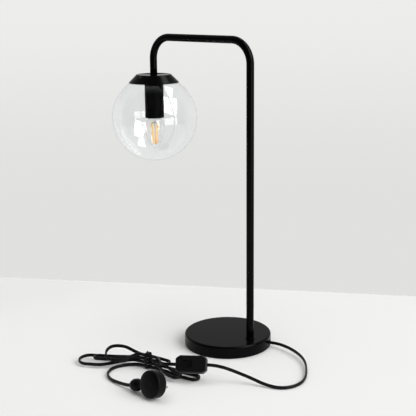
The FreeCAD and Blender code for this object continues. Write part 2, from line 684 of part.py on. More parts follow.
def filament_top():
    """Height of the filaments' upper ends: they hang in the widest part of the glass."""
    return size("bulb_under") + 9.5 + size("filament_length")


def rod(name, start, end, radius):
    """A thin round bar from one point to another."""
    piece = doc.addObject("Part::Cylinder", name)
    piece.Radius = radius
    piece.Height = (end - start).Length
    piece.Placement = Placement(start, along(end - start))
    return piece


# Shape of the candle: share of the length below its widest point, straight neck,
# radius, height and slope of the point where the rounded tip begins.
BELLY_SHARE = 0.36
NECK_RUN = 4
TIP_RADIUS = 1.9
TIP_HEIGHT = 1.2
TIP_SLOPE = math.radians(52)


def candle_solid(inset, top):
    """The candle bulb, drawn in by `inset`: tangent arcs from neck to belly to tip, turned."""
    low = size("bulb_under")
    belly = low + BELLY_SHARE * size("bulb_length")
    neck_r = size("bulb_neck_r") - inset
    belly_r = size("bulb_diameter") / 2 - inset
    tip_r = TIP_RADIUS - inset * 0.8
    down = Vector(0, 0, -1)
    slope = Vector(-math.sin(TIP_SLOPE), 0, -math.cos(TIP_SLOPE))
    neck = Vector(neck_r, 0, top)
    shoulder = Vector(neck_r, 0, top - NECK_RUN)
    widest = Vector(belly_r, 0, belly)
    tip = Vector(tip_r, 0, low + TIP_HEIGHT + inset)
    end = Vector(0, 0, low + inset)
    edges = [Part.LineSegment(neck, shoulder).toShape()]
    edges += biarc_edges(shoulder, down, widest, down)
    edges += biarc_edges(widest, down, tip, slope)
    edges += biarc_edges(tip, slope, end, Vector(-1, 0, 0))
    edges.append(Part.LineSegment(end, Vector(0, 0, top)).toShape())
    edges.append(Part.LineSegment(Vector(0, 0, top), neck).toShape())
    face = Part.Face(Part.Wire(edges))
    return face.revolve(Vector(), Vector(0, 0, 1), 360)


# Smooth curves through points: each stretch is two tangent arcs


def biarc(start, start_way, end, end_way):
    """Where two tangent arcs with equal tangent lengths meet, and the direction there."""
    gap = end - start
    ways = start_way + end_way
    square = 2 * (start_way.dot(end_way) - 1)
    linear = -2 * gap.dot(ways)
    constant = gap.dot(gap)
    if abs(square) < 1e-9:
        reach = -constant / linear
    else:
        root = math.sqrt(linear * linear - 4 * square * constant)
        reach = (-linear - root) / (2 * square)
        if reach < 0:
            reach = (-linear + root) / (2 * square)
    near = start + start_way * reach
    far = end - end_way * reach
    return (near + far) * 0.5, (far - near).normalize()


def arc_edge(start, way, end):
    """The arc that leaves `start` along `way` and ends at `end`, with its radius and turn."""
    chord = end - start
    half = way.getAngle(chord)
    if half < 1e-4:
        return Part.LineSegment(start, end).toShape(), math.inf, 0.0
    radius = chord.Length / (2 * math.sin(half))
    inward = (chord - way * chord.dot(way)).normalize()
    middle = start + way * (radius * math.sin(half)) + inward * (radius * (1 - math.cos(half)))
    return Part.Arc(start, middle, end).toShape(), radius, 2 * half


def biarc_edges(start, start_way, end, end_way, radii=None):
    start_way = Vector(start_way).normalize()
    end_way = Vector(end_way).normalize()
    middle, middle_way = biarc(start, start_way, end, end_way)
    first, first_radius, _ = arc_edge(start, start_way, middle)
    second, second_radius, _ = arc_edge(middle, middle_way, end)
    if radii is not None:
        radii += [first_radius, second_radius]
    return [first, second]


def swept(name, edges, radius):
    """A round tube along a chain of tangent edges."""
    spine = Part.Wire(edges)
    first = edges[0]
    way = first.tangentAt(first.FirstParameter)
    start = first.valueAt(first.FirstParameter)
    section = Part.Wire(Part.Circle(start, way, radius).toShape())
    shape = spine.makePipeShell([section], True, False)
    expected = math.pi * radius * radius * spine.Length
    print("%s: length %.1f, volume over section times length %.4f" % (name, spine.Length,
                                                                      shape.Volume / expected))
    piece = doc.addObject("Part::Feature", name)
    piece.Shape = shape
    return piece, spine


def bent_edges(name, points, fixed=None):
    """Straight runs joined by tangent arcs, each as large as its two runs allow, or of a fixed radius."""
    edges = []
    radii = []
    here = points[0]
    for k in range(1, len(points) - 1):
        before = points[k] - points[k - 1]
        after = points[k + 1] - points[k]
        turn = before.getAngle(after)
        radius = 0.45 * min(before.Length, after.Length) / math.tan(turn / 2)
        if fixed and k in fixed:
            radius = fixed[k]
        reach = radius * math.tan(turn / 2)
        way_in = Vector(before).normalize()
        way_out = Vector(after).normalize()
        start = points[k] - way_in * reach
        end = points[k] + way_out * reach
        edges.append(Part.LineSegment(here, start).toShape())
        edges.append(arc_edge(start, way_in, end)[0])
        radii.append(radius)
        here = end
    edges.append(Part.LineSegment(here, points[-1]).toShape())
    print("%s: arc radii %s" % (name, " ".join("%.0f" % radius for radius in radii)))
    return edges


def front_frame():
    """The flex, the switch and the plug are laid out square to the side that faces front."""
    return Placement(Vector(), Rotation(Vector(0, 0, 1), size("front_angle")))


def inner_flex():
    """The flex inside: through the bush's end, under the foot, up the tube and down to the lampholder."""
    level = Vector(0, 0, size("exit_height"))
    foot, line = channel_line()
    low = Vector(0, 0, size("pad_thickness + inner_flex_diameter / 2 + part_gap"))
    arm = Vector(0, 0, size("arm_height"))
    head_axis = Vector(size("head_x"), 0, 0)
    end = Vector(0, 0, size("holder_floor_under + holder_floor + 1.5"))
    dip_start, dip_end = line * 16, line * 10.5
    points = [exit_line() * flex_start() + level, flex_corner() + level, foot + dip_start + level,
              foot + dip_end + low, foot + low, foot + arm, head_axis + arm, head_axis + end]
    turn, bend = size("inner_turn"), size("bend_radius")
    edges = bent_edges("inner_flex", points, {2: turn + 1, 3: turn + 1, 4: turn, 5: bend, 6: bend})
    piece, _ = swept("flex_inside", edges, size("inner_flex_diameter") / 2)
    part(piece, "inner_flex")


# Switch: where its middle is in the front frame, and how it lies

SWITCH_MIDDLE = Vector(-60.8, -161.4, 28)
SWITCH_HEADING = 4.6
SWITCH_PITCH = 0
SWITCH_TILT = 32


def switch_frame():
    """Own frame: X along the flex toward the base, Y up the tilted face, Z out of the face."""
    turn = Rotation(Vector(0, 0, 1), -SWITCH_HEADING) * Rotation(Vector(0, 1, 0), -SWITCH_PITCH)
    turn = turn * Rotation(Vector(1, 0, 0), 90 - SWITCH_TILT)
    return front_frame() * Placement(SWITCH_MIDDLE, turn)


def case_half(name, low, high, rounded_height):
    """A pad of the switch's outline between two heights, its outer edge rounded."""
    body = doc.addObject("PartDesign::Body", name)
    half, side = "switch_length / 2", "switch_width / 2"
    end, taper = "switch_end / 2", "switch_length / 2 - switch_taper"
    corners = [(half, end), (taper, side), ("-(%s)" % taper, side), ("-(%s)" % half, end),
               ("-(%s)" % half, "-(%s)" % end), ("-(%s)" % taper, "-(%s)" % side), (taper, "-(%s)" % side),
               (half, "-(%s)" % end)]
    sketch = outline_sketch(body, name + "_outline", corners, "XY_Plane")
    sketch.setExpression("AttachmentOffset.Base.z", with_sheets(low))
    pad = body.newObject("PartDesign::Pad", name + "_pad")
    pad.Profile = sketch
    bind(pad, Length="(%s) - (%s)" % (high, low))
    doc.recompute()

    def upright(edge):
        return abs(edge.tangentAt(edge.FirstParameter).z) > 0.99

    rounded(body, name + "_corners", "switch_corner", upright)
    level = size(rounded_height)

    def rim(edge):
        return all(abs(vertex.Z - level) < 1e-4 for vertex in edge.Vertexes)

    rounded(body, name + "_rim", "switch_edge", rim)
    return body


def switch():
    frame = switch_frame()
    deep = "switch_thickness / 2"
    split = "-switch_joint"
    cavity_x = "switch_length / 2 - switch_taper - switch_wall"
    cavity_y = "switch_width / 2 - switch_wall"

    lower = case_half("lower_case", "-(%s)" % deep, split, "-(%s)" % deep)
    lower_room = block("lower_room", "2 * (%s)" % cavity_x, "2 * (%s)" % cavity_y,
                       "%s - switch_wall + 1" % deep, "-(%s)" % cavity_x, "-(%s)" % cavity_y,
                       "-(%s) + switch_wall" % deep)
    upper = case_half("upper_case", split, deep, deep)
    upper_room = block("upper_room", "2 * (%s)" % cavity_x, "2 * (%s)" % cavity_y,
                       "%s - switch_wall + 0.5" % deep, "-(%s)" % cavity_x, "-(%s)" % cavity_y, split)
    window = block("rocker_window", "rocker_length + 2 * rocker_gap", "rocker_width + 2 * rocker_gap",
                   "switch_thickness", "-rocker_offset - rocker_length / 2 - rocker_gap",
                   "-rocker_width / 2 - rocker_gap", "0")
    screw_bores = []
    screws = []
    for side in (-1, 1):
        x = "%d * (switch_length / 2 - switch_taper / 2 - 1.5)" % side
        outside, sunk = "-(%s) - 1" % deep, "-(%s) + 0.6" % deep
        screw_bores.append(cylinder("case_screw_bore", "case_screw / 2 + fit_gap", "switch_thickness - 4.5",
                                    x, "0", outside))
        head = cylinder("screw_head", "case_screw_head / 2", "case_screw_rise", x, "0", sunk)
        shank = cylinder("screw_shank", "case_screw / 2", "switch_thickness - 6.4", x, "0", sunk)
        screws.append(joined("one_case_screw", [head, shank]))
        screw_bores.append(cylinder("case_screw_seat", "case_screw_head / 2 + fit_gap", "case_screw_rise + 1.6",
                                    x, "0", outside))
    lower_cut = cut("lower_hollow", lower, [lower_room] + screw_bores)
    pivot = "switch_thickness / 2 - rocker_depth"
    lug, lug_wall = "rocker_pin + 3", "1.8"
    lugs = [block("rocker_lug", lug, lug_wall, "rocker_depth", "-rocker_offset - (%s) / 2" % lug, y,
                  "%s - %s" % (pivot, lug_wall))
            for y in ("rocker_width / 2 + rocker_gap", "-rocker_width / 2 - rocker_gap - " + lug_wall)]
    lug_bore = cylinder("lug_bore", "rocker_pin / 2 + fit_gap", "rocker_width + 6", "-rocker_offset",
                        "rocker_width / 2 + 3", pivot, turn=along(Vector(0, -1, 0)))
    hollow = cut("upper_shell", upper, [upper_room, window] + screw_bores)
    upper_cut = cut("upper_hollow", joined("upper_with_lugs", [hollow] + lugs), [lug_bore])
    screw_set = group("case_screws", screws)

    rocker = doc.addObject("Part::Feature", "rocker_shape")
    rocker.Shape = rocker_solid()
    contacts = []
    for side in (-1, 1):
        x = "-rocker_offset + %d * contact_offset - 2.5" % side
        contacts.append(joined("contact", [
            block("contact_foot", "5", "6", "1", x, "-3", "-(%s) + switch_wall" % deep),
            block("contact_blade", "0.8", "6", "5.5", "%s + 2.1" % x, "-3", "-(%s) + switch_wall" % deep)]))
    contact_set = group("contact_pair", contacts)

    doc.recompute()
    for piece, label in ((lower_cut, "switch_lower_case"), (upper_cut, "switch_upper_case"),
                         (rocker, "switch_rocker"), (contact_set, "switch_contacts"),
                         (screw_set, "switch_screws")):
        piece.Placement = frame * rocker_place() if piece is rocker else frame
        part(piece, label)


def rocker_solid():
    """A key with a dished top, a foot for the contacts and two pivot pins, at rest with one end up."""
    length, width = size("rocker_length"), size("rocker_width")
    rise, belly, dish = size("rocker_rise"), size("rocker_belly"), size("rocker_dish")
    dish_floor, corner, foot_r, pin_run = rise - 0.8, 0.8, 2.6, 2
    across = Vector(0, 1, 0)
    key = Part.makeBox(length, width, rise + belly, Vector(-length / 2, -width / 2, -belly))
    key = key.cut(Part.makeCylinder(dish, width + 2, Vector(0, -width / 2 - 1, dish_floor + dish), across))
    ends = [edge for edge in key.Edges if abs(edge.tangentAt(edge.FirstParameter).z) > 0.99]
    key = key.makeFillet(corner, ends)
    foot = Part.makeCylinder(foot_r, width, Vector(0, -width / 2, -belly), across)
    pin_r, pin_length = size("rocker_pin / 2"), width + 2 * pin_run
    pin = Part.makeCylinder(pin_r, pin_length, Vector(0, -pin_length / 2, 0), across)
    return key.fuse(foot).fuse(pin).removeSplitter()


def rocker_place():
    """The rocker's pivot, and its tilt at rest."""
    pivot = Vector(-size("rocker_offset"), 0, size("switch_thickness / 2 - rocker_depth"))
    print("rocker pivot", switch_frame().multVec(pivot))
    print("rocker axis", switch_frame().Rotation.multVec(Vector(0, 1, 0)))
    return Placement(pivot, Rotation(Vector(0, 1, 0), -size("rocker_swing") / 2))


# Plug


def plug_frame():
    """Own frame: X out along the flex, Z out of the pin face. The plug stands on its rim, leaning to its pins."""
    pin_turn = math.radians(39)
    dip = math.radians(17)
    lean = math.radians(16)
    level = Vector(math.sin(pin_turn), math.cos(pin_turn), 0)
    flex = Vector(-math.cos(pin_turn) * math.cos(dip), math.sin(pin_turn) * math.cos(dip), -math.sin(dip))
    pins = level * math.cos(lean) + flex.cross(level) * math.sin(lean)
    turn = Rotation(flex, pins.cross(flex), pins, "XZY")
    half = size("plug_thickness / 2")
    height = size("plug_diameter / 2") * math.hypot(pins.x, pins.y) + half * abs(pins.z) + 0.2
    middle = Vector(-118.4, -222, height)
    return front_frame() * Placement(middle + pins * half, turn)


def plug():
    frame = plug_frame()
    body = revolved("plug_disc", [
        ("0", "0.01"), ("plug_diameter / 2", "0.01"), ("plug_diameter / 2", "plug_thickness"),
        ("plug_diameter / 2 - 6", "plug_thickness + plug_dome * 0.75"),
        ("plug_diameter / 2 - 13", "plug_thickness + plug_dome"), ("0", "plug_thickness + plug_dome")])
    rounded(body, "plug_face_edge", "1.2", circle_at(0.01, size("plug_diameter / 2")))
    rounded(body, "plug_back_edge", "3", circle_at(size("plug_thickness"), size("plug_diameter / 2")))
    body.Placement = Placement(Vector(), Rotation(Vector(1, 0, 0), 180))

    grip_line = [("0", "plug_diameter / 2 - 2"), ("6.5", "plug_diameter / 2 - 2"),
                 ("5.6", "plug_diameter / 2 + 5.5"), ("grip_radius - 1.6", "plug_diameter / 2 + 8"),
                 ("grip_radius", "plug_diameter / 2 + 11.5"), ("grip_radius", "plug_diameter / 2 + 18"),
                 ("grip_radius - 2.2", "plug_diameter / 2 + 23"),
                 ("grip_radius - 5.4", "plug_diameter / 2 + 26.5"), ("cord_r + 0.9", "grip_reach"),
                 ("0", "grip_reach")]
    grip = revolved("plug_grip_turned", grip_line)
    grip.Placement = Placement(Vector(0, 0, size("-plug_thickness / 2")), Rotation(Vector(0, 1, 0), 90))
    grip_cut = cut("plug_grip_trimmed", grip, [
        cylinder("plug_round", "plug_diameter / 2 + fit_gap", "plug_thickness + 10", z="-plug_thickness - 5")])

    pins, sleeves, sockets = [], [], []
    for side in (-1, 1):
        angle = 180 + 60 * side
        pins.append(joined("pin", [
            pin_bar("pin_tip", "pin_width", "pin_thickness", "pin_length - pin_sleeve", "pin_sleeve", angle),
            pin_bar("pin_core", "pin_width - 1.2", "pin_thickness - 0.7", "pin_sleeve + 6", "-6", angle)]))
        sleeves.append(cut("pin_sleeve_cut", pin_bar("pin_cover", "pin_width", "pin_thickness",
                                                     "pin_sleeve", "0", angle),
                           [pin_bar("pin_cover_bore", "pin_width - 1.2", "pin_thickness - 0.7",
                                    "pin_sleeve + 2", "-1", angle)]))
        sockets.append(pin_bar("pin_socket", "pin_width - 1.2", "pin_thickness - 0.7", "9", "-6", angle))
    body_cut = cut("plug_disc_cut", body, sockets)
    doc.recompute()
    for piece, label in ((body_cut, "plug_body"), (grip_cut, "plug_grip"), (group("pin_pair", pins), "plug_pins"),
                         (group("sleeve_pair", sleeves), "plug_pin_sleeves")):
        piece.Placement = frame
        part(piece, label)


def pin_bar(name, width, thickness, length, z, angle):
    """A flat bar along Z, its wide side square to the line from the plug's centre."""
    way = Vector(math.cos(math.radians(angle)), math.sin(math.radians(angle)), 0)
    side = Vector(-way.y, way.x, 0)
    piece = doc.addObject("Part::Box", name)
    bind(piece, Length=thickness, Width=width, Height=length)
    corner = way * (size("pin_circle") - size(thickness) / 2) - side * (size(width) / 2)
    piece.Placement = Placement(corner, Rotation(Vector(0, 0, 1), angle))
    bind(piece, z=z)
    return piece


# Flex: free stretches


def switch_ends():
    """The two ends of the switch and its direction, in the front frame."""
    frame = front_frame().inverse() * switch_frame()
    way = frame.Rotation.multVec(Vector(1, 0, 0))
    half = size("switch_length / 2")
    return frame.Base - way * half, frame.Base + way * half, way


def cord_base_to_switch():
    """From the bush, down to the table, round in front and up into the switch."""
    turn = math.radians(size("exit_angle"))
    out = Vector(math.cos(turn), math.sin(turn), 0)
    level = Vector(0, 0, size("exit_height"))
    _, end, way = switch_ends()
    points = [out * flex_start() + level, out * size("base_r + cord_lead") + level,
              Vector(97, -42.2, 9.3), Vector(110.5, -60.3, 8.3), Vector(120.6, -81.3, 6.8),
              Vector(125, -103.6, 5.6), Vector(124.3, -128, 4), Vector(120.9, -154, 3.1),
              Vector(113, -176.3, 2.9), Vector(97.5, -192, 2.9), Vector(76.5, -198, 2.9),
              Vector(54, -188, 4.4), Vector(32, -175, 10.5), Vector(11, -171.5, 18.5),
              Vector(-8, -169.5, 25.5), end + way * 10, end]
    piece, _ = swept("cord_one", bent_edges("cord_base_to_switch", points), size("cord_r"))
    piece.Placement = front_frame()
    part(piece, "cord_base_to_switch")


def cord_hank_to_plug():
    """From the hank's waist, round on the table and into the plug's grip."""
    end, way = hank_end()
    frame = front_frame().inverse() * plug_frame()
    into = frame.Rotation.multVec(Vector(1, 0, 0))
    grip_end = frame.multVec(Vector(size("grip_reach"), 0, -size("plug_thickness") / 2))
    points = [end, end + way * 9, Vector(-163, -99.2, 3.2), Vector(-177, -103, 2.9),
              Vector(-188, -110.5, 2.9), Vector(-195, -122.5, 2.9), Vector(-197, -137, 2.9),
              Vector(-193, -151.5, 2.9), Vector(-185, -164, 3.2), grip_end + into * 9, grip_end]
    piece, _ = swept("cord_two", bent_edges("cord_hank_to_plug", points), size("cord_r"))
    piece.Placement = front_frame()
    part(piece, "cord_hank_to_plug")


# Flex: the hank, seven passes through a tied waist with six end loops

WAIST = Vector(-133, -107, 0)
WAIST_TURN = 30
WAIST_LOW = 4.1
WAIST_STEP = 3.15
WAIST_COLUMN = 2.95

# Each end loop: side (-1 to the left), reach from the waist, turn from the front's X axis,
# half width, height of its middle, roll that lifts its far strand.
END_LOOPS = [
    (-1, 70, 7, 14.5, 24, 32),
    (1, 44, 38, 8.5, 18.3, 0),
    (-1, 92, 11.5, 8, 12.9, -4),
    (1, 78, 48, 8.3, 9, 0),
    (-1, 118, 12, 16, 6.9, 4),
    (1, 97, 31.5, 8.3, 2.9, 0),
]


def waist_ways():
    turn = math.radians(WAIST_TURN)
    return Vector(math.cos(turn), -math.sin(turn), 0), Vector(math.sin(turn), math.cos(turn), 0)


def waist_slot(index, side):
    """Where pass `index`, from the top one down, crosses the tie's edge on one side."""
    right, away = waist_ways()
    column = away * (-WAIST_COLUMN if index % 2 else WAIST_COLUMN)
    height = WAIST_LOW + WAIST_STEP * (7 - index)
    return WAIST + right * (side * (size("tie_length") / 2 + 0.5)) + column + Vector(0, 0, height)


def hank_end():
    """The last pass leaves the waist on the left, straight for one width."""
    right, _ = waist_ways()
    return waist_slot(7, -1) - right * size("cord_width"), right * -1


def hank_stations():
    """Points and directions along the hank, from the switch to the last pass."""
    start, _, way = switch_ends()
    right, _ = waist_ways()
    straight = size("cord_width")
    stations = [(start, way * -1), (start - way * straight, way * -1),
                (waist_slot(1, 1), right * -1), (waist_slot(1, -1), right * -1)]
    for index, (side, reach, fan, half, height, roll) in enumerate(END_LOOPS, start=2):
        turn = math.radians(fan)
        out = Vector(math.cos(turn), -math.sin(turn), 0) * side
        across = Vector(math.sin(turn), math.cos(turn), 0) * (-side)
        lift = math.radians(roll)
        across = across * math.cos(lift) + Vector(0, 0, math.sin(lift))
        middle = WAIST + Vector(0, 0, height) + out * (reach - half)
        stations += [(middle - across * half, out), (middle + out * half, across),
                     (middle + across * half, out * -1)]
        back = right * -side
        stations += [(waist_slot(index, side), back), (waist_slot(index, -side), back)]
    end, way_out = hank_end()
    return stations + [(end, way_out)]


def cord_hank():
    edges = []
    radii = []
    stations = hank_stations()
    for (start, start_way), (end, end_way) in zip(stations[:-1], stations[1:]):
        gap = end - start
        if gap.getAngle(start_way) < 1e-4 and gap.getAngle(end_way) < 1e-4:
            edges.append(Part.LineSegment(start, end).toShape())
            continue
        edges += biarc_edges(start, start_way, end, end_way, radii)
    radius = size("cord_r")
    piece, spine = swept("hank", edges, radius)
    print("cord_hank: tightest arc %.1f, least gap to itself %.2f" % (min(radii), least_gap(spine, 2 * radius)))
    piece.Placement = front_frame()
    part(piece, "cord_hank")


def least_gap(spine, width):
    """Smallest distance between points of the tube that are well apart along it, less its width."""
    spacing = 1.5
    count = int(spine.Length / spacing)
    points = spine.discretize(count)
    apart = int(2.8 * width / spacing)
    least = math.inf
    for first in range(count):
        for second in range(first + apart, count):
            least = min(least, points[first].distanceToPoint(points[second]))
    return least - width


def cord_tie():
    """A flat tie round the seven passes, with its twisted ends on top."""
    right, away = waist_ways()
    turn = Rotation(right, away, Vector(0, 0, 1), "XZY")
    room = size("cord_r") + 0.25
    width = 2 * (WAIST_COLUMN + room)
    tall = 6 * WAIST_STEP + 2 * room
    wall = size("tie_thickness")
    length = size("tie_length")
    low = WAIST_LOW - room

    def slab(margin):
        shape = Part.makeBox(length, width + 2 * margin, tall + 2 * margin,
                             Vector(-length / 2, -width / 2 - margin, low - margin))
        edges = [edge for edge in shape.Edges if abs(edge.tangentAt(edge.FirstParameter).x) > 0.99]
        return shape.makeFillet(room + margin, edges)

    twist = Part.makeCone(1.6, 0.9, 4.5, Vector(0.5, -WAIST_COLUMN, low + tall + wall - 0.3),
                          Vector(0.2, -0.15, 1))
    hole = slab(0)
    hole = hole.fuse(Part.makeBox(length + 2, 1, 1, Vector(-length / 2 - 1, -0.5, low + 5)))
    shape = slab(wall).fuse(twist).cut(hole).removeSplitter()
    print("cord_tie: lowest %.2f" % shape.BoundBox.ZMin)
    piece = doc.addObject("Part::Feature", "tie_band")
    piece.Shape = shape
    piece.Placement = front_frame() * Placement(WAIST, turn)
    part(piece, "cord_tie")


base()
cord_entry()
stem()
inner_flex()
head()
lampholder()
bulb()
switch()
plug()
cord_base_to_switch()
cord_hank()
cord_tie()
cord_hank_to_plug()
doc.recompute()

faults = [entry.Name for entry in doc.Objects if "Invalid" in entry.State or "Error" in entry.State]
faults += [piece.Label for piece in PARTS if piece.Shape.isNull() or not piece.Shape.isValid()]
if faults:
    raise RuntimeError("these pieces failed: " + ", ".join(faults))

os.makedirs("parts", exist_ok=True)
for piece in PARTS:
    piece.Shape.exportStep("parts/%s.step" % piece.Label)
print("%d sub-parts written" % len(PARTS))
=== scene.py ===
import math

import bpy
import numpy as np
from mathutils import Matrix, Vector


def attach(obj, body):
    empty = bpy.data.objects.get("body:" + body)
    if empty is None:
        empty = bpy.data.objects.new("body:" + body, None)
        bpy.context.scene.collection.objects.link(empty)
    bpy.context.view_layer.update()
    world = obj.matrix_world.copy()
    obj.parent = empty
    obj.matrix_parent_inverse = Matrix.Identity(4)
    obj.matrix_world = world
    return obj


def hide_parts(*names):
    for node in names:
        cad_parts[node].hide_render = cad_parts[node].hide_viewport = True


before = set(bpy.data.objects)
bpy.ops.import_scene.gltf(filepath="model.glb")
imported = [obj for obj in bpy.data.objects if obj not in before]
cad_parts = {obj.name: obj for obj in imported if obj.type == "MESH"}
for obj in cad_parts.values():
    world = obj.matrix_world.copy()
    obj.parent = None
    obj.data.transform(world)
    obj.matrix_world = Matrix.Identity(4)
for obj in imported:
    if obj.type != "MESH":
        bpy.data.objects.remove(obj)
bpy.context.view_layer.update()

MM = 0.001

# Camera, at the photograph's place: a long lens, a little above the globe, looking down at the lamp.

VIEW_PLACE = (0.9770, -1.1463, 0.6027)
VIEW_ACROSS = Vector((-0.665, 0.747, 0)).normalized()
VIEW_DROP = math.radians(13.43)
VIEW_ROLL = -0.0101
VIEW_LENS = 79.1
SENSOR_WIDTH = 36


def add_camera():
    level = Vector((VIEW_ACROSS.y, -VIEW_ACROSS.x, 0))
    ahead = VIEW_ACROSS * math.cos(VIEW_DROP) - Vector((0, 0, math.sin(VIEW_DROP)))
    upward = level.cross(ahead)
    right = level * math.cos(VIEW_ROLL) + upward * math.sin(VIEW_ROLL)
    top = upward * math.cos(VIEW_ROLL) - level * math.sin(VIEW_ROLL)
    lens = bpy.data.cameras.new("photo_camera")
    lens.lens = VIEW_LENS
    lens.sensor_width = SENSOR_WIDTH
    camera = bpy.data.objects.new("photo_camera", lens)
    turned_to = Matrix((right, top, -ahead)).transposed().to_4x4()
    camera.matrix_world = Matrix.Translation(VIEW_PLACE) @ turned_to
    bpy.context.scene.collection.objects.link(camera)
    bpy.context.scene.camera = camera


# Meshes from grids of points


def mesh_object(name, grid, ring_closed=False, first_pole=False, last_pole=False):
    """Quads between the rows of a grid of points, whose columns run round and close on the first.

    ring_closed joins the last row to the first, and a pole shrinks an end row to its mean point, with a
    fan of triangles round it. The rows run so that row step x column step points outwards."""
    rows, columns, _ = grid.shape
    index = np.arange(rows * columns).reshape(rows, columns)
    following = np.roll(index, -1, axis=1)
    first = 1 if first_pole else 0
    last = rows - 1 if last_pole else rows
    low = index[first:last]
    low_next = following[first:last]
    if ring_closed:
        high = np.roll(index, -1, axis=0)
        high_next = np.roll(following, -1, axis=0)
    else:
        high = low[1:]
        high_next = low_next[1:]
        low = low[:-1]
        low_next = low_next[:-1]
    faces = np.stack([low, low_next, high_next, high], axis=-1).reshape(-1, 4).tolist()
    points = grid.reshape(-1, 3)
    if first_pole:
        points[index[0]] = grid[0].mean(axis=0)
        faces += np.stack([np.full(columns, index[0, 0]), following[1], index[1]], axis=-1).tolist()
    if last_pole:
        points[index[-1]] = grid[-1].mean(axis=0)
        faces += np.stack([np.full(columns, index[-1, 0]), index[-2], following[-2]], axis=-1).tolist()
    used = np.unique(np.concatenate([np.ravel(face) for face in faces]))
    place = np.zeros(len(points), int)
    place[used] = np.arange(len(used))
    mesh = bpy.data.meshes.new(name)
    mesh.from_pydata(points[used].tolist(), [], [place[face].tolist() for face in faces])
    mesh.shade_smooth()
    piece = bpy.data.objects.new(name, mesh)
    bpy.context.scene.collection.objects.link(piece)
    return piece


def edge_round(before, corner, after, radius, count=6):
    """A profile's corner as an arc of the given radius, tangent to the runs to the points before and
    after it. One more point lies a small share of the radius beyond each end of the arc, so that the
    flats beside it shade flat."""
    beyond = 0.15 * radius
    before, corner, after = (np.array(p, float) for p in (before, corner, after))
    back = (before - corner) / np.linalg.norm(before - corner)
    ahead = (after - corner) / np.linalg.norm(after - corner)
    half = math.acos(np.clip(back @ ahead, -1, 1)) / 2
    reach = radius / math.tan(half)
    middle = corner + (back + ahead) / np.linalg.norm(back + ahead) * radius / math.sin(half)
    start = corner + back * reach - middle
    sweep = math.pi - 2 * half
    turn = np.sign(start[1] * back[0] - start[0] * back[1])
    angles = np.linspace(0, sweep, count) * turn
    arc = middle + np.stack([start[0] * np.cos(angles) - start[1] * np.sin(angles),
                             start[0] * np.sin(angles) + start[1] * np.cos(angles)], axis=1)
    return np.vstack([arc[0] + back * beyond, arc, arc[-1] + ahead * beyond])


def profile_of(corners, count=6):
    """A profile from corners (radius from the axis, height, rounding), in order along it, with as many
    points on each rounding as the count says."""
    places = [np.array(c[:2], float) for c in corners]
    runs = []
    for k, (_, _, rounding) in enumerate(corners):
        if rounding:
            following = places[(k + 1) % len(places)]
            runs.append(edge_round(places[k - 1], places[k], following, rounding, count))
        else:
            runs.append(places[k][None])
    return np.vstack(runs)


def turned(name, profile, axis_x, axis_y, around=128, **ends):
    """Each profile point (r, z) swept once round the upright axis through (axis_x, axis_y)."""
    angle = np.linspace(0, 2 * math.pi, around, endpoint=False)
    grid = np.empty((len(profile), around, 3))
    grid[..., 0] = axis_x + profile[:, :1] * np.cos(angle)
    grid[..., 1] = axis_y + profile[:, :1] * np.sin(angle)
    grid[..., 2] = profile[:, 1:]
    return mesh_object(name, grid[::-1], **ends)


def ways_along(line):
    """Unit direction at each point of a line, from the points on both sides of it."""
    ways = np.gradient(line, axis=0)
    return ways / np.linalg.norm(ways, axis=1)[:, None]


# Cords: the flat flex, wide side nearly upright. The routes are the part's own, worked out here again in
# millimetres in its front frame: X to the right, and Y away from the photograph's viewer.

FLEX_WIDE = 5.4 * MM
FLEX_THIN = 3.4 * MM
FLEX_SQUARENESS = 0.72
FLEX_AROUND = 24
SHORTEST_STEP = 1e-6
FRONT_TURN = math.radians(41.67)


def level_way(degrees):
    """Level direction in the front frame, so many degrees from X toward the viewer."""
    turn = math.radians(degrees)
    return np.array([math.cos(turn), -math.sin(turn), 0])


def level_across(degrees):
    """Level direction square to level_way, away from the viewer."""
    turn = math.radians(degrees)
    return np.array([math.sin(turn), math.cos(turn), 0])


def on_lamp(points):
    """Points of the front frame turned to the lamp's own axes, in metres to a tenth of a millimetre."""
    x, y, z = np.array(points, float).T
    lamp_x = x * math.cos(FRONT_TURN) - y * math.sin(FRONT_TURN)
    lamp_y = x * math.sin(FRONT_TURN) + y * math.cos(FRONT_TURN)
    places = np.stack([lamp_x, lamp_y, z], axis=1) * MM
    return [[round(value, 4) for value in place] for place in places.tolist()]


# The flex from the bush, down to the table, round in front and up into the switch

EXIT_WAY = level_way(16.5)
EXIT_LIFT = np.array([0, 0, 8.0])
SWITCH_MIDDLE = np.array([-60.8, -161.4, 28.0])
SWITCH_WAY = level_way(4.6)
SWITCH_HALF = 25
NEAR_END = SWITCH_MIDDLE + SWITCH_WAY * SWITCH_HALF
FAR_END = SWITCH_MIDDLE - SWITCH_WAY * SWITCH_HALF

FIRST_ROUTE = on_lamp([
    EXIT_WAY * 72.7 + EXIT_LIFT, EXIT_WAY * 84.5 + EXIT_LIFT, (97, -42.2, 9.3), (110.5, -60.3, 8.3),
    (120.6, -81.3, 6.8), (125, -103.6, 5.6), (124.3, -128, 4), (120.9, -154, 3.1), (113, -176.3, 2.9),
    (97.5, -192, 2.9), (76.5, -198, 2.9), (54, -188, 4.4), (32, -175, 10.5), (11, -171.5, 18.5),
    (-8, -169.5, 25.5), NEAR_END + SWITCH_WAY * 10, NEAR_END,
])

# The hank: seven passes through the tied waist with six end loops

PASSES = 7
STRAIGHT = 5.4
WAIST = np.array([-133.0, -107, 0])
WAIST_WAY = level_way(30)
WAIST_ACROSS = level_across(30)
WAIST_HALF = 3.5
WAIST_LOW = 4.1
WAIST_STEP = 3.15
WAIST_COLUMN = 2.95
SHARP_TURN = math.radians(20)
UNEVEN = 0.49

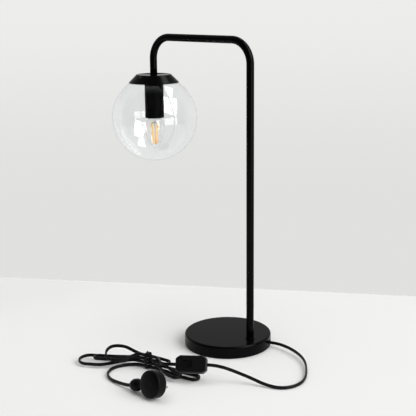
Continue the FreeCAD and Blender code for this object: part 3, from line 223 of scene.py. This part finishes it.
# Each end loop: side (-1 to the left), reach from the waist, turn from the front's X axis, half width,
# height of its middle, roll that lifts its far strand
END_LOOPS = [
    (-1, 70, 7, 14.5, 24, 32),
    (1, 44, 38, 8.5, 18.3, 0),
    (-1, 92, 11.5, 8, 12.9, -4),
    (1, 78, 48, 8.3, 9, 0),
    (-1, 118, 12, 16, 6.9, 4),
    (1, 97, 31.5, 8.3, 2.9, 0),
]

# Bends that keep the middle between their corners as a point too, which draws the spline to it. They
# count along the stations: out of the first end loop, and into the third, fourth and fifth.
HELD_BENDS = (6, 13, 18, 23)


def waist_slot(index, side):
    """Where a pass crosses the tie's edge on one side: passes count from the top down, in two columns."""
    column = -WAIST_COLUMN if index % 2 else WAIST_COLUMN
    height = WAIST_LOW + WAIST_STEP * (PASSES - index)
    return WAIST + WAIST_WAY * side * WAIST_HALF + WAIST_ACROSS * column + np.array([0, 0, height])


def hank_stations():
    """Points and directions along the hank. Each end loop is a half circle about a middle near its end,
    and a crossing of the waist follows it."""
    stations = [(FAR_END, -SWITCH_WAY), (FAR_END - SWITCH_WAY * STRAIGHT, -SWITCH_WAY),
                (waist_slot(1, 1), -WAIST_WAY), (waist_slot(1, -1), -WAIST_WAY)]
    for index, (side, reach, fan, half, height, roll) in enumerate(END_LOOPS, start=2):
        lift = math.radians(roll)
        out = level_way(fan) * side
        across = level_across(fan) * -side * math.cos(lift) + np.array([0, 0, math.sin(lift)])
        middle = WAIST + out * (reach - half) + np.array([0, 0, height])
        back = WAIST_WAY * -side
        stations += [(middle - across * half, out), (middle + out * half, across),
                     (middle + across * half, -out), (waist_slot(index, side), back),
                     (waist_slot(index, -side), back)]
    return stations + [(waist_slot(PASSES, -1) - WAIST_WAY * STRAIGHT, -WAIST_WAY)]


def bend_corners(start, start_way, end, end_way):
    """Corners of the two arcs that join two points along their ways. Both lie one reach from their
    point, and the line between them is two reaches long."""
    gap = end - start
    ways = start_way + end_way
    along = gap @ ways
    reach = gap @ gap / (along + math.sqrt(along ** 2 + (4 - ways @ ways) * (gap @ gap)))
    return start + start_way * reach, end - end_way * reach


def hank_corners():
    """The hank's stations where it runs straight, and the corners of its arcs where it bends."""
    stations = hank_stations()
    corners = []
    for k, ((start, start_way), (end, end_way)) in enumerate(zip(stations, stations[1:])):
        straight = (end - start) / np.linalg.norm(end - start)
        if min(straight @ start_way, straight @ end_way) > 1 - 1e-9:
            corners += [end] if corners and np.allclose(corners[-1], start) else [start, end]
        else:
            first, last = bend_corners(start, start_way, end, end_way)
            corners += [first, (first + last) / 2, last] if k in HELD_BENDS else [first, last]
    return corners


def evened(corners):
    """Corners with one more point where a sharp turn has a run under about half as long as its other
    run. The point lies as far off on the long run as the short one is long, so that the spline rounds
    both sides alike."""
    route = [corners[0]]
    for before, corner, after in zip(corners, corners[1:], corners[2:]):
        come = np.linalg.norm(corner - before)
        go = np.linalg.norm(after - corner)
        back = (corner - before) / come
        ahead = (after - corner) / go
        sharp = back @ ahead < math.cos(SHARP_TURN)
        if sharp and go < come * UNEVEN:
            route.append(corner - back * go)
        route.append(corner)
        if sharp and come < go * UNEVEN:
            route.append(corner + ahead * come)
    return route + [corners[-1]]


# The tail, from the waist round on the table and into the plug's grip

PLUG_R = 21.25
PLUG_HALF = 8
PLUG_TURN = 39
GRIP_REACH = 49.5


def tail_points():
    """The tail's points after the waist. The plug stands on its rim: its flex dips to the table by 17
    degrees, and its pins lean by 16."""
    dip = math.radians(17)
    lean = math.radians(16)
    level = level_across(PLUG_TURN)
    flex_way = level_way(PLUG_TURN) * -math.cos(dip) - np.array([0, 0, math.sin(dip)])
    pins = level * math.cos(lean) + np.cross(flex_way, level) * math.sin(lean)
    height = PLUG_R * math.hypot(pins[0], pins[1]) + PLUG_HALF * abs(pins[2]) + 0.2
    grip_end = np.array([-118.4, -222, height]) + flex_way * GRIP_REACH
    end, end_way = hank_stations()[-1]
    return [end + end_way * 9, (-163, -99.2, 3.2), (-177, -103, 2.9), (-188, -110.5, 2.9),
            (-195, -122.5, 2.9), (-197, -137, 2.9), (-193, -151.5, 2.9), (-185, -164, 3.2),
            grip_end + flex_way * 9, grip_end]


HANK_ROUTE = on_lamp(evened(hank_corners()) + tail_points())


def spline_points(name, route):
    """Points along the smooth line that a NURBS spline makes of a route's points."""
    curve = bpy.data.curves.new(name, "CURVE")
    curve.dimensions = "3D"
    spline = curve.splines.new("NURBS")
    spline.points.add(len(route) - 1)
    for point, place in zip(spline.points, route):
        point.co = (*place, 1)
    spline.order_u = 3
    spline.use_endpoint_u = True
    spline.resolution_u = 16
    holder = bpy.data.objects.new(name, curve)
    line = bpy.data.meshes.new_from_object(holder)
    points = np.empty(len(line.vertices) * 3)
    line.vertices.foreach_get("co", points)
    bpy.data.meshes.remove(line)
    bpy.data.objects.remove(holder)
    bpy.data.curves.remove(curve)
    return points.reshape(-1, 3)


def flat_flex(name, route):
    """A flat flex along a route: at each point of the spline a flattened oval, its wide way square to
    the line and as upright as the line lets it be. The oval is (wide cos^p a, thin sin^p a), squared
    by a power p under 1."""
    line = spline_points(name, route)
    steps = np.linalg.norm(np.diff(line, axis=0), axis=1)
    line = line[np.concatenate([[True], steps > SHORTEST_STEP])]
    ways = ways_along(line)
    tall = np.array([0, 0, 1.0]) - ways * ways[:, 2:]
    tall /= np.linalg.norm(tall, axis=1)[:, None]
    side = np.cross(ways, tall)
    angle = np.linspace(0, 2 * math.pi, FLEX_AROUND, endpoint=False)
    wide = np.sign(np.cos(angle)) * np.abs(np.cos(angle)) ** FLEX_SQUARENESS * FLEX_WIDE / 2
    thin = np.sign(np.sin(angle)) * np.abs(np.sin(angle)) ** FLEX_SQUARENESS * FLEX_THIN / 2
    grid = line[:, None] + tall[:, None] * wide[:, None] + side[:, None] * thin[:, None]
    first_end = line[:1, None].repeat(FLEX_AROUND, axis=1)
    last_end = line[-1:, None].repeat(FLEX_AROUND, axis=1)
    grid = np.concatenate([first_end, grid, last_end])
    return mesh_object(name, grid, first_pole=True, last_pole=True), line


def add_cords(flex):
    first, first_line = flat_flex("flex_base_to_switch", FIRST_ROUTE)
    hank, hank_line = flat_flex("flex_hank_and_tail", HANK_ROUTE)
    for piece in (first, hank):
        piece.data.materials.append(flex)
        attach(piece, "lamp")
    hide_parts("cord_base_to_switch")
    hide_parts("cord_hank", "cord_hank_to_plug")


# Colours and materials

CLOUD_GRAINS = 12


def linear(hex_colour):
    """A written sRGB colour as the linear light that the shaders take."""
    values = np.array([int(hex_colour[k:k + 2], 16) for k in (1, 3, 5)]) / 255
    low = values / 12.92
    high = ((values + 0.055) / 1.055) ** 2.4
    return (*np.where(values <= 0.04045, low, high).tolist(), 1)


def add_node(tree, kind, settings=None, values=None, links=None):
    """Adds one node. Settings are its own properties, values and links are what its sockets get."""
    node = tree.nodes.new(kind)
    for name, value in (settings or {}).items():
        setattr(node, name, value)
    for socket, value in (values or {}).items():
        node.inputs[socket].default_value = value
    for socket, source in (links or {}).items():
        tree.links.new(source, node.inputs[socket])
    return node


def new_material(name):
    """A material with a bare node tree: its tree, its Object coordinates and its output."""
    material = bpy.data.materials.new(name)
    material.use_nodes = True
    tree = material.node_tree
    tree.nodes.clear()
    place = add_node(tree, "ShaderNodeTexCoord").outputs["Object"]
    output = add_node(tree, "ShaderNodeOutputMaterial").inputs["Surface"]
    return material, tree, place, output


def surfaced(name, colours, roughness, grain, relief, spread=0.06, metallic=0.0, **sockets):
    """A solid finish: two colours mixed by soft clouds, roughness that varies by the same clouds, and a
    grain of the given size raised by the relief, both in metres."""
    material, tree, place, output = new_material(name)
    cloud = add_node(tree, "ShaderNodeTexNoise",
                     values={"Scale": 1 / (CLOUD_GRAINS * grain), "Detail": 3.0}, links={"Vector": place})
    colour = add_node(tree, "ShaderNodeMix", {"data_type": "RGBA"},
                      {"A": linear(colours[0]), "B": linear(colours[1])}, {"Factor": cloud.outputs["Fac"]})
    gloss = add_node(tree, "ShaderNodeMapRange",
                     values={"To Min": roughness - spread, "To Max": roughness + spread},
                     links={"Value": cloud.outputs["Fac"]})
    bumps = add_node(tree, "ShaderNodeTexNoise", values={"Scale": 1 / grain, "Detail": 2.0},
                     links={"Vector": place})
    normal = add_node(tree, "ShaderNodeBump", values={"Strength": 1.0, "Distance": relief},
                      links={"Height": bumps.outputs["Fac"]})
    shader = add_node(tree, "ShaderNodeBsdfPrincipled", values={"Metallic": metallic, **sockets},
                      links={"Base Color": colour.outputs["Result"], "Roughness": gloss.outputs["Result"],
                             "Normal": normal.outputs["Normal"]})
    tree.links.new(shader.outputs["BSDF"], output)
    return material


def clear_glass(name, tint, wave_size, wave_relief):
    """Blown clear glass: it bends and mirrors light, its wall has a faint wave, and light from lamps
    passes it straight, so that what is inside is lit."""
    material, tree, place, output = new_material(name)
    wave = add_node(tree, "ShaderNodeTexNoise", values={"Scale": 1 / wave_size, "Detail": 0.0},
                    links={"Vector": place})
    normal = add_node(tree, "ShaderNodeBump", values={"Strength": 1.0, "Distance": wave_relief},
                      links={"Height": wave.outputs["Fac"]})
    glass = add_node(tree, "ShaderNodeBsdfPrincipled",
                     values={"Base Color": linear(tint), "Roughness": 0.0, "IOR": 1.5,
                             "Transmission Weight": 1.0},
                     links={"Normal": normal.outputs["Normal"]})
    through = add_node(tree, "ShaderNodeBsdfTransparent", values={"Color": linear(tint)})
    rays = add_node(tree, "ShaderNodeLightPath")
    mixed = add_node(tree, "ShaderNodeMixShader", links={"Fac": rays.outputs["Is Shadow Ray"]})
    tree.links.new(glass.outputs["BSDF"], mixed.inputs[1])
    tree.links.new(through.outputs["BSDF"], mixed.inputs[2])
    tree.links.new(mixed.outputs["Shader"], output)
    return material


def make_materials():
    """Every finish by a short name. Each comment says the material, how it was made and how it looks."""
    made = {}
    # Powder-coated steel: sprayed and baked, satin black with a fine orange peel about 1 mm across
    made["enamel"] = surfaced("powder_coated_steel", ("#050506", "#070708"), 0.24, 1.1 * MM, 0.002 * MM,
                              spread=0.03, **{"Specular IOR Level": 0.055})
    # The same coat on the sleeve inside the glass globe, sprayed thinner and left flatter
    made["flat_enamel"] = surfaced("matt_coated_steel", ("#040405", "#070708"), 0.45, 1.1 * MM, 0.003 * MM,
                                   spread=0.03, **{"Specular IOR Level": 0.02})
    # Clear soda-lime glass, mouth-blown in a mould: colourless, with a slow wave in its wall
    made["globe_glass"] = clear_glass("blown_soda_lime_glass", "#fdfefe", 40 * MM, 0.02 * MM)
    # Thin tube glass of the bulb, drawn and flame-shaped
    made["bulb_glass"] = clear_glass("flame_shaped_bulb_glass", "#fefefe", 18 * MM, 0.01 * MM)
    # Silicone with yellow phosphor over the LED filaments, cast: amber, with a painted glow, a faint amber
    # light that it emits though the bulb is off
    made["filament"] = surfaced("phosphor_silicone", ("#ee9c00", "#ffb80c"), 0.42, 0.5 * MM, 0.02 * MM,
                                **{"Specular IOR Level": 0.2, "Emission Color": linear("#ffb800"),
                                   "Emission Strength": 0.5})
    # Nickel-plated brass of the bulb's cap and the plug's pins, rolled: bright and a little yellow
    made["nickel"] = surfaced("rolled_nickel_plate", ("#b9b6ac", "#c9c6bd"), 0.24, 0.6 * MM, 0.004 * MM,
                              metallic=1.0)
    # Drawn brass of the shell and the contacts: warm, with draw marks
    made["brass"] = surfaced("drawn_brass", ("#b48f3f", "#cba858"), 0.28, 0.7 * MM, 0.006 * MM,
                             metallic=1.0)
    # Zinc-plated steel of nuts, screws, nipples and ring: grey and cloudy
    made["zinc"] = surfaced("zinc_plated_steel", ("#8f9193", "#b5b6b4"), 0.36, 0.5 * MM, 0.006 * MM,
                            metallic=1.0)
    # Grey iron, sand-cast: dull with a sand grain about 0.8 mm across
    made["iron"] = surfaced("sand_cast_iron", ("#2c2b2a", "#3d3b38"), 0.78, 0.8 * MM, 0.12 * MM)
    # Closed-cell foam of the pad, die-cut: matt black with cells about 0.7 mm across
    made["foam"] = surfaced("die_cut_foam", ("#17171a", "#222225"), 0.93, 0.7 * MM, 0.15 * MM)
    # Black vitrite glass round the bulb's contact, pressed hot: deep black and glossy
    made["vitrite"] = surfaced("pressed_vitrite", ("#0c0a10", "#15131b"), 0.15, 0.9 * MM, 0.01 * MM)
    # Phenolic resin of the lampholder, press-moulded: black with a faint brown cloud
    made["resin"] = surfaced("moulded_phenolic", ("#0d0c0b", "#171412"), 0.4, 0.8 * MM, 0.015 * MM)
    # Soft PVC sheath of the flex, extruded: satin black, with slight ripples across it
    made["flex"] = surfaced("extruded_pvc_sheath", ("#070708", "#0d0d0f"), 0.34, 1.6 * MM, 0.03 * MM,
                            **{"Specular IOR Level": 0.15})
    # Polycarbonate of the switch, moulded: black, spark-eroded grain drawn at 0.5 mm so that it shows
    made["switch"] = surfaced("moulded_polycarbonate", ("#080809", "#0d0d0e"), 0.34, 0.5 * MM, 0.008 * MM,
                              **{"Specular IOR Level": 0.3})
    # PVC of the plug, moulded over its pins: black, softer gloss
    made["plug"] = surfaced("overmoulded_pvc", ("#060607", "#0a0a0b"), 0.40, 0.9 * MM, 0.015 * MM,
                            **{"Specular IOR Level": 0.08})
    # PVC-coated wire of the tie, twisted: black and slightly ribbed
    made["tie"] = surfaced("pvc_coated_tie", ("#080809", "#0e0e10"), 0.42, 0.8 * MM, 0.04 * MM,
                           **{"Specular IOR Level": 0.15})
    # Nylon of the bush and of the pins' sleeves, moulded: black and even, a little duller than the switch
    made["nylon"] = surfaced("moulded_nylon", ("#0a0a0b", "#101011"), 0.45, 0.6 * MM, 0.01 * MM,
                             **{"Specular IOR Level": 0.2})
    return made


NODE_FINISH = {
    "base_pad": "foam", "base_weight": "iron", "weight_studs": "zinc", "weight_nuts": "zinc",
    "base_cover": "enamel", "cord_bush": "nylon", "cord_clamp": "zinc", "cord_clamp_screws": "zinc",
    "foot_collar": "enamel", "foot_nipple": "zinc", "foot_washer": "zinc", "foot_nut": "zinc",
    "stem_tube": "enamel", "inner_flex": "flex", "globe_cap": "enamel", "fitter_ring": "zinc",
    "globe_screws": "zinc", "glass_globe": "globe_glass", "head_nipple": "zinc", "head_nut": "zinc",
    "holder_sleeve": "flat_enamel", "holder_body": "resin", "holder_screw_shell": "brass",
    "holder_contact": "brass", "bulb_glass": "bulb_glass", "bulb_stem": "bulb_glass",
    "bulb_cap": "nickel", "bulb_contact": "nickel", "bulb_insulator": "vitrite", "bulb_leads": "zinc",
    "bulb_filaments": "filament", "switch_lower_case": "switch", "switch_upper_case": "switch",
    "switch_rocker": "switch", "switch_contacts": "brass", "switch_screws": "zinc", "plug_body": "plug",
    "plug_grip": "plug", "plug_pins": "nickel", "plug_pin_sleeves": "nylon", "cord_tie": "tie",
    "cord_base_to_switch": "flex", "cord_hank": "flex", "cord_hank_to_plug": "flex",
}


def finish_nodes(finishes):
    """Gives every node of the part its finish."""
    for name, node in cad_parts.items():
        node.data.materials.clear()
        node.data.materials.append(finishes[NODE_FINISH[name]])


# Steel parts of the base, the stem and the head

BASE_R = 75 * MM
BASE_TOP = 21 * MM
BASE_WALL = 1.2 * MM
RIM_LOW = 0.8 * MM
STEM_X = 50 * MM
HEAD_X = -168 * MM
TUBE_R = 6.35 * MM
TUBE_WALL = 1 * MM
BEND_R = 38 * MM
ARM_Z = 524 * MM
CAP_TOP = 459.2 * MM
NIPPLE_HOLE = 5.5 * MM


def stand_in(piece, node, finish, body):
    """Finishes a piece, sets it on its body and lets it show in place of a node."""
    piece.data.materials.append(finish)
    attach(piece, body)
    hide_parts(node)
    return piece


def base_cover():
    """Pressed steel cover: a flat top, a rolled edge of 3 mm, and a straight side down to a rounded lower
    rim. The inside runs back up and in, a wall's thickness away."""
    edge, rim, flat_r = 3 * MM, 0.5 * MM, BASE_R - 12 * MM
    outer = [(0, BASE_TOP, 0), (flat_r, BASE_TOP, 0), (BASE_R, BASE_TOP, edge), (BASE_R, RIM_LOW, rim)]
    inner_r = BASE_R - BASE_WALL
    inner_top = BASE_TOP - BASE_WALL
    inner = [(inner_r, RIM_LOW, rim), (inner_r, inner_top, edge - BASE_WALL), (0, inner_top, 0)]
    return turned("pressed_base_cover", profile_of(outer + inner, 8), 0, 0, around=192, first_pole=True,
                  last_pole=True)


def tube_path():
    """The tube's axis: up from the base, a bend, the level arm, a second bend and down to the cap."""
    turn = np.linspace(0, math.pi / 2, 40)
    across_turn, up_turn = BEND_R * (1 - np.cos(turn)), BEND_R * (1 - np.sin(turn))
    bend_low = ARM_Z - BEND_R
    right = np.stack([STEM_X - across_turn, ARM_Z - up_turn], axis=1)
    left = np.stack([HEAD_X + up_turn, ARM_Z - across_turn], axis=1)
    up_z = np.linspace(BASE_TOP, bend_low, 25)[:-1]
    across_x = np.linspace(STEM_X - BEND_R, HEAD_X + BEND_R, 12)[1:-1]
    down_z = np.linspace(bend_low, CAP_TOP, 3)[1:]
    up = np.stack([np.full(len(up_z), STEM_X), up_z], axis=1)
    across = np.stack([across_x, np.full(len(across_x), ARM_Z)], axis=1)
    down = np.stack([np.full(len(down_z), HEAD_X), down_z], axis=1)
    flat = np.vstack([up, right, across, left, down])
    return np.stack([flat[:, 0], np.zeros(len(flat)), flat[:, 1]], axis=1)


def stem_tube():
    """A circle carried along the tube's axis, outside one way and inside back: a closed wall."""
    line = tube_path()
    ways = ways_along(line)
    level = np.array([0, 1.0, 0])
    inward = np.cross(ways, level)
    angle = np.linspace(0, 2 * math.pi, 56, endpoint=False)
    ring = level * np.cos(angle)[:, None, None] + inward[None] * np.sin(angle)[:, None, None]
    ring = np.swapaxes(ring, 0, 1)
    outside = line[:, None] + ring * TUBE_R
    inside = (line[:, None] + ring * (TUBE_R - TUBE_WALL))[::-1]
    return mesh_object("bent_stem_tube", np.concatenate([outside, inside]), ring_closed=True)


def foot_collar():
    """A turned ring round the tube's foot, its outer top edge rounded."""
    low, high = BASE_TOP, BASE_TOP + 2.5 * MM
    inner, outer = 6.4 * MM, 7.55 * MM
    profile = profile_of([
        (inner, low, 0), (outer, low, 0), (outer, high, 0.6 * MM), (inner, high, 0.2 * MM),
    ])
    return turned("turned_foot_collar", profile[::-1], STEM_X, 0, around=72, ring_closed=True)


def globe_cap():
    """Spun steel cap: a flat top with a soft edge, a straight cone to the rim, and the inside back up."""
    top_r, rim_r, rim_z = 30.4 * MM, 44.8 * MM, 444.88 * MM
    wall, slant = 1.2 * MM, 1.67 * MM
    lean = (rim_r - top_r) / (CAP_TOP - rim_z)
    inside_top = CAP_TOP - wall
    inside_top_r = top_r + lean * wall - slant
    profile = profile_of([
        (NIPPLE_HOLE, CAP_TOP, 0), (top_r, CAP_TOP, 0.9 * MM), (rim_r, rim_z, 0.4 * MM),
        (rim_r - slant, rim_z, 0.4 * MM), (inside_top_r, inside_top, 0.6 * MM),
        (NIPPLE_HOLE, inside_top, 0),
    ])
    return turned("spun_globe_cap", profile, HEAD_X, 0, around=144, ring_closed=True)


def holder_sleeve():
    """A deep-drawn cup, mouth down, with a hole in its end for the nipple."""
    outer, low, high, wall = 16.65 * MM, 383 * MM, 458 * MM, 0.8 * MM
    profile = profile_of([
        (NIPPLE_HOLE, high, 0), (outer, high, 0.6 * MM), (outer, low, 0.3 * MM),
        (outer - wall, low, 0.3 * MM), (outer - wall, high - wall, 0.4 * MM),
        (NIPPLE_HOLE, high - wall, 0),
    ])
    return turned("drawn_holder_sleeve", profile, HEAD_X, 0, around=96, ring_closed=True)


# Glass

GLOBE_R = 75.95 * MM
GLOBE_WALL = 1.6 * MM
GLOBE_Z = 382.1 * MM
NECK_R = 26 * MM
NECK_TOP = 457.5 * MM


def ball_and_neck(ball_r, neck_r, blend):
    """Profile from the bottom pole up round a ball and into a straight neck, the two joined by a small
    arc: the arc's centre is outside both, a blend radius from the ball and from the neck's line."""
    centre_r = neck_r + blend
    centre_z = GLOBE_Z + math.sqrt((ball_r + blend) ** 2 - centre_r ** 2)
    meet = math.atan2(centre_z - GLOBE_Z, centre_r)
    around = np.linspace(-math.pi / 2, meet, 90)
    ball = np.stack([ball_r * np.cos(around), GLOBE_Z + ball_r * np.sin(around)], axis=1)
    turn = np.linspace(meet + math.pi, math.pi, 8)
    hollow = np.stack([centre_r + blend * np.cos(turn), centre_z + blend * np.sin(turn)], axis=1)
    return np.vstack([ball, hollow[1:]])


def glass_globe():
    """The globe's outside from its bottom pole to the neck, over the fire-rounded rim and back inside."""
    bore_r = NECK_R - GLOBE_WALL
    straight, rim_edge = NECK_TOP - 2 * MM, 0.6 * MM
    outside = ball_and_neck(GLOBE_R, NECK_R, blend=1.0 * MM)
    inside = ball_and_neck(GLOBE_R - GLOBE_WALL, bore_r, blend=2.6 * MM)
    rim = profile_of([
        (NECK_R, straight, 0), (NECK_R, NECK_TOP, rim_edge), (bore_r, NECK_TOP, rim_edge),
        (bore_r, straight, 0),
    ])
    profile = np.vstack([outside, rim, inside[::-1]])
    return turned("blown_glass_globe", profile[::-1], HEAD_X, 0, around=160, first_pole=True,
                  last_pole=True)


# Light, floor and backdrop

GLOBE_MIDDLE = (HEAD_X, 0, GLOBE_Z)
UPRIGHT = (0, 0, 1)
# Strengths of the room's light: the pale wall, the dim wall above it, the dark side and the even light
PALE_WALL = 0.80
DIM_WALL = 0.44
DARK_ROOM = 0.02
EVEN_LIGHT = 0.32
# The wall's foot on the floor: the way to it from the lamp, and where the floor starts and stops fading
WALL_WAY = (-0.5228, 0.8525, 0)
WALL_FROM = 0.298
WALL_TO = 0.306
FLOOR_R = 1.6


def soft_lamp(name, place, tall, size, watts, mirrored, aim=GLOBE_MIDDLE):
    """A rectangular softbox at a place, facing the aim point, its upright way leaned as given. A mirrored
    one shows in glossy finishes and in glass, and any other one lights the matt surfaces."""
    light = bpy.data.lights.new(name, "AREA")
    light.shape = "RECTANGLE"
    light.size, light.size_y = size
    light.energy = watts
    holder = bpy.data.objects.new(name, light)
    back = (Vector(place) - Vector(aim)).normalized()
    side = Vector(tall).cross(back).normalized()
    lift = back.cross(side)
    holder.matrix_world = Matrix.Translation(place) @ Matrix((side, lift, back)).transposed().to_4x4()
    holder.visible_camera = False
    holder.visible_diffuse = not mirrored
    holder.visible_glossy = mirrored
    holder.visible_transmission = mirrored
    bpy.context.scene.collection.objects.link(holder)


def add_lights():
    # The three panes of a tall window beside the lamp, as they show in the globe, the tube and the cap
    middle_tall = (-0.566, 0.409, 0.716)
    low_tall = (0.173, -0.062, 0.983)
    high_tall = (-0.844, 0.534, 0.044)
    soft_lamp("window_middle", (2.626, 0.384, 2.282), middle_tall, (2.16, 2.76), 128, mirrored=True)
    soft_lamp("window_low", (3.182, -0.076, -0.198), low_tall, (2.12, 1.86), 44, mirrored=True)
    soft_lamp("window_high", (0.9, 1.336, 3.32), high_tall, (0.88, 1.8), 30, mirrored=True)
    # The same window's soft light on matt surfaces, from twice as far off so that the floor is lit
    # evenly, and a broad overhead softbox
    soft_lamp("window_light", (5.42, 0.768, 4.182), middle_tall, (5.2, 6.4), 436, mirrored=False)
    soft_lamp("overhead", (-0.6, -0.1, 2.4), (0, 1, 0), (1.8, 1.8), 15, mirrored=False, aim=(0, 0, 0))


def add_world():
    """The room, by direction. The camera sees the pale wall. Mirrored rays see a wall behind the lamp
    that is pale up to a low edge and dim above it, and a dark room in front. Rays through glass see the
    pale wall, and the dark room above the horizon in front. Light that falls on matt surfaces is even."""
    world = bpy.data.worlds.new("studio")
    bpy.context.scene.world = world
    world.use_nodes = True
    tree = world.node_tree
    tree.nodes.clear()
    direction = add_node(tree, "ShaderNodeTexCoord").outputs["Generated"]

    def share_along(way, start, end, low, high):
        """Direction dotted with a way, eased from low to high between two values."""
        dot = add_node(tree, "ShaderNodeVectorMath", {"operation": "DOT_PRODUCT"}, {1: way}, {0: direction})
        eased = add_node(tree, "ShaderNodeMapRange", {"interpolation_type": "SMOOTHSTEP"},
                         {"From Min": start, "From Max": end, "To Min": low, "To Max": high},
                         {"Value": dot.outputs["Value"]})
        return eased.outputs["Result"]

    def background(strength, colour="#ffffff"):
        """Light of one colour, its strength a number or another node's result."""
        values = {"Color": linear(colour)}
        links = {}
        if isinstance(strength, float):
            values["Strength"] = strength
        else:
            links["Strength"] = strength
        return add_node(tree, "ShaderNodeBackground", values=values, links=links).outputs["Background"]

    def mixed(share, first, second):
        """The first light at a share of 0 and the second at a share of 1."""
        node = add_node(tree, "ShaderNodeMixShader", links={"Fac": share})
        tree.links.new(first, node.inputs[1])
        tree.links.new(second, node.inputs[2])
        return node.outputs["Shader"]

    behind = share_along(tuple(VIEW_ACROSS), start=-0.3, end=0.5, low=0.0, high=1.0)
    wall = background(share_along(UPRIGHT, start=0.12, end=0.34, low=PALE_WALL, high=DIM_WALL))
    mirrored = mixed(behind, background(DARK_ROOM), wall)
    front_through = background(share_along(UPRIGHT, start=-0.06, end=0.12, low=PALE_WALL, high=DARK_ROOM))
    through = mixed(behind, front_through, background(PALE_WALL))
    seen = background(share_along(UPRIGHT, start=-0.22, end=0.0, low=0.75, high=0.85), "#fffffd")
    rays = add_node(tree, "ShaderNodeLightPath").outputs
    sky = mixed(rays["Is Glossy Ray"], background(EVEN_LIGHT), mirrored)
    sky = mixed(rays["Is Transmission Ray"], sky, through)
    sky = mixed(rays["Is Camera Ray"], sky, seen)
    add_node(tree, "ShaderNodeOutputWorld", links={"Surface": sky})


def add_floor():
    """A pale table top that ends in a straight line at the wall behind the lamp, as in the photograph."""
    steps = np.linspace(0, FLOOR_R, 12)
    profile = np.stack([steps, np.zeros(len(steps))], axis=1)
    floor = turned("pale_floor", profile, 0, 0, around=96, last_pole=True)
    # Laminated board, matt white: even and without gloss, and clear from the wall's foot on
    material, tree, place, output = new_material("matt_white_board")
    off = add_node(tree, "ShaderNodeVectorMath", {"operation": "DOT_PRODUCT"}, {1: WALL_WAY}, {0: place})
    fade = add_node(tree, "ShaderNodeMapRange", {"interpolation_type": "SMOOTHSTEP"},
                    {"From Min": WALL_FROM, "From Max": WALL_TO}, {"Value": off.outputs["Value"]})
    board = add_node(tree, "ShaderNodeBsdfPrincipled",
                     values={"Base Color": linear("#f4f4f3"), "Roughness": 0.8, "Specular IOR Level": 0.0})
    clear = add_node(tree, "ShaderNodeBsdfTransparent")
    mixed = add_node(tree, "ShaderNodeMixShader", links={"Fac": fade.outputs["Result"]})
    tree.links.new(board.outputs["BSDF"], mixed.inputs[1])
    tree.links.new(clear.outputs["BSDF"], mixed.inputs[2])
    tree.links.new(mixed.outputs["Shader"], output)
    floor.data.materials.append(material)


add_camera()
materials = make_materials()
finish_nodes(materials)
add_cords(materials["flex"])
stand_in(base_cover(), "base_cover", materials["enamel"], "lamp")
stand_in(foot_collar(), "foot_collar", materials["enamel"], "lamp")
stand_in(stem_tube(), "stem_tube", materials["enamel"], "lamp")
stand_in(globe_cap(), "globe_cap", materials["enamel"], "lamp")
stand_in(holder_sleeve(), "holder_sleeve", materials["flat_enamel"], "lamp")
stand_in(glass_globe(), "glass_globe", materials["globe_glass"], "globe")
add_lights()
add_world()
add_floor()

bpy.context.scene.view_settings.view_transform = "Standard"
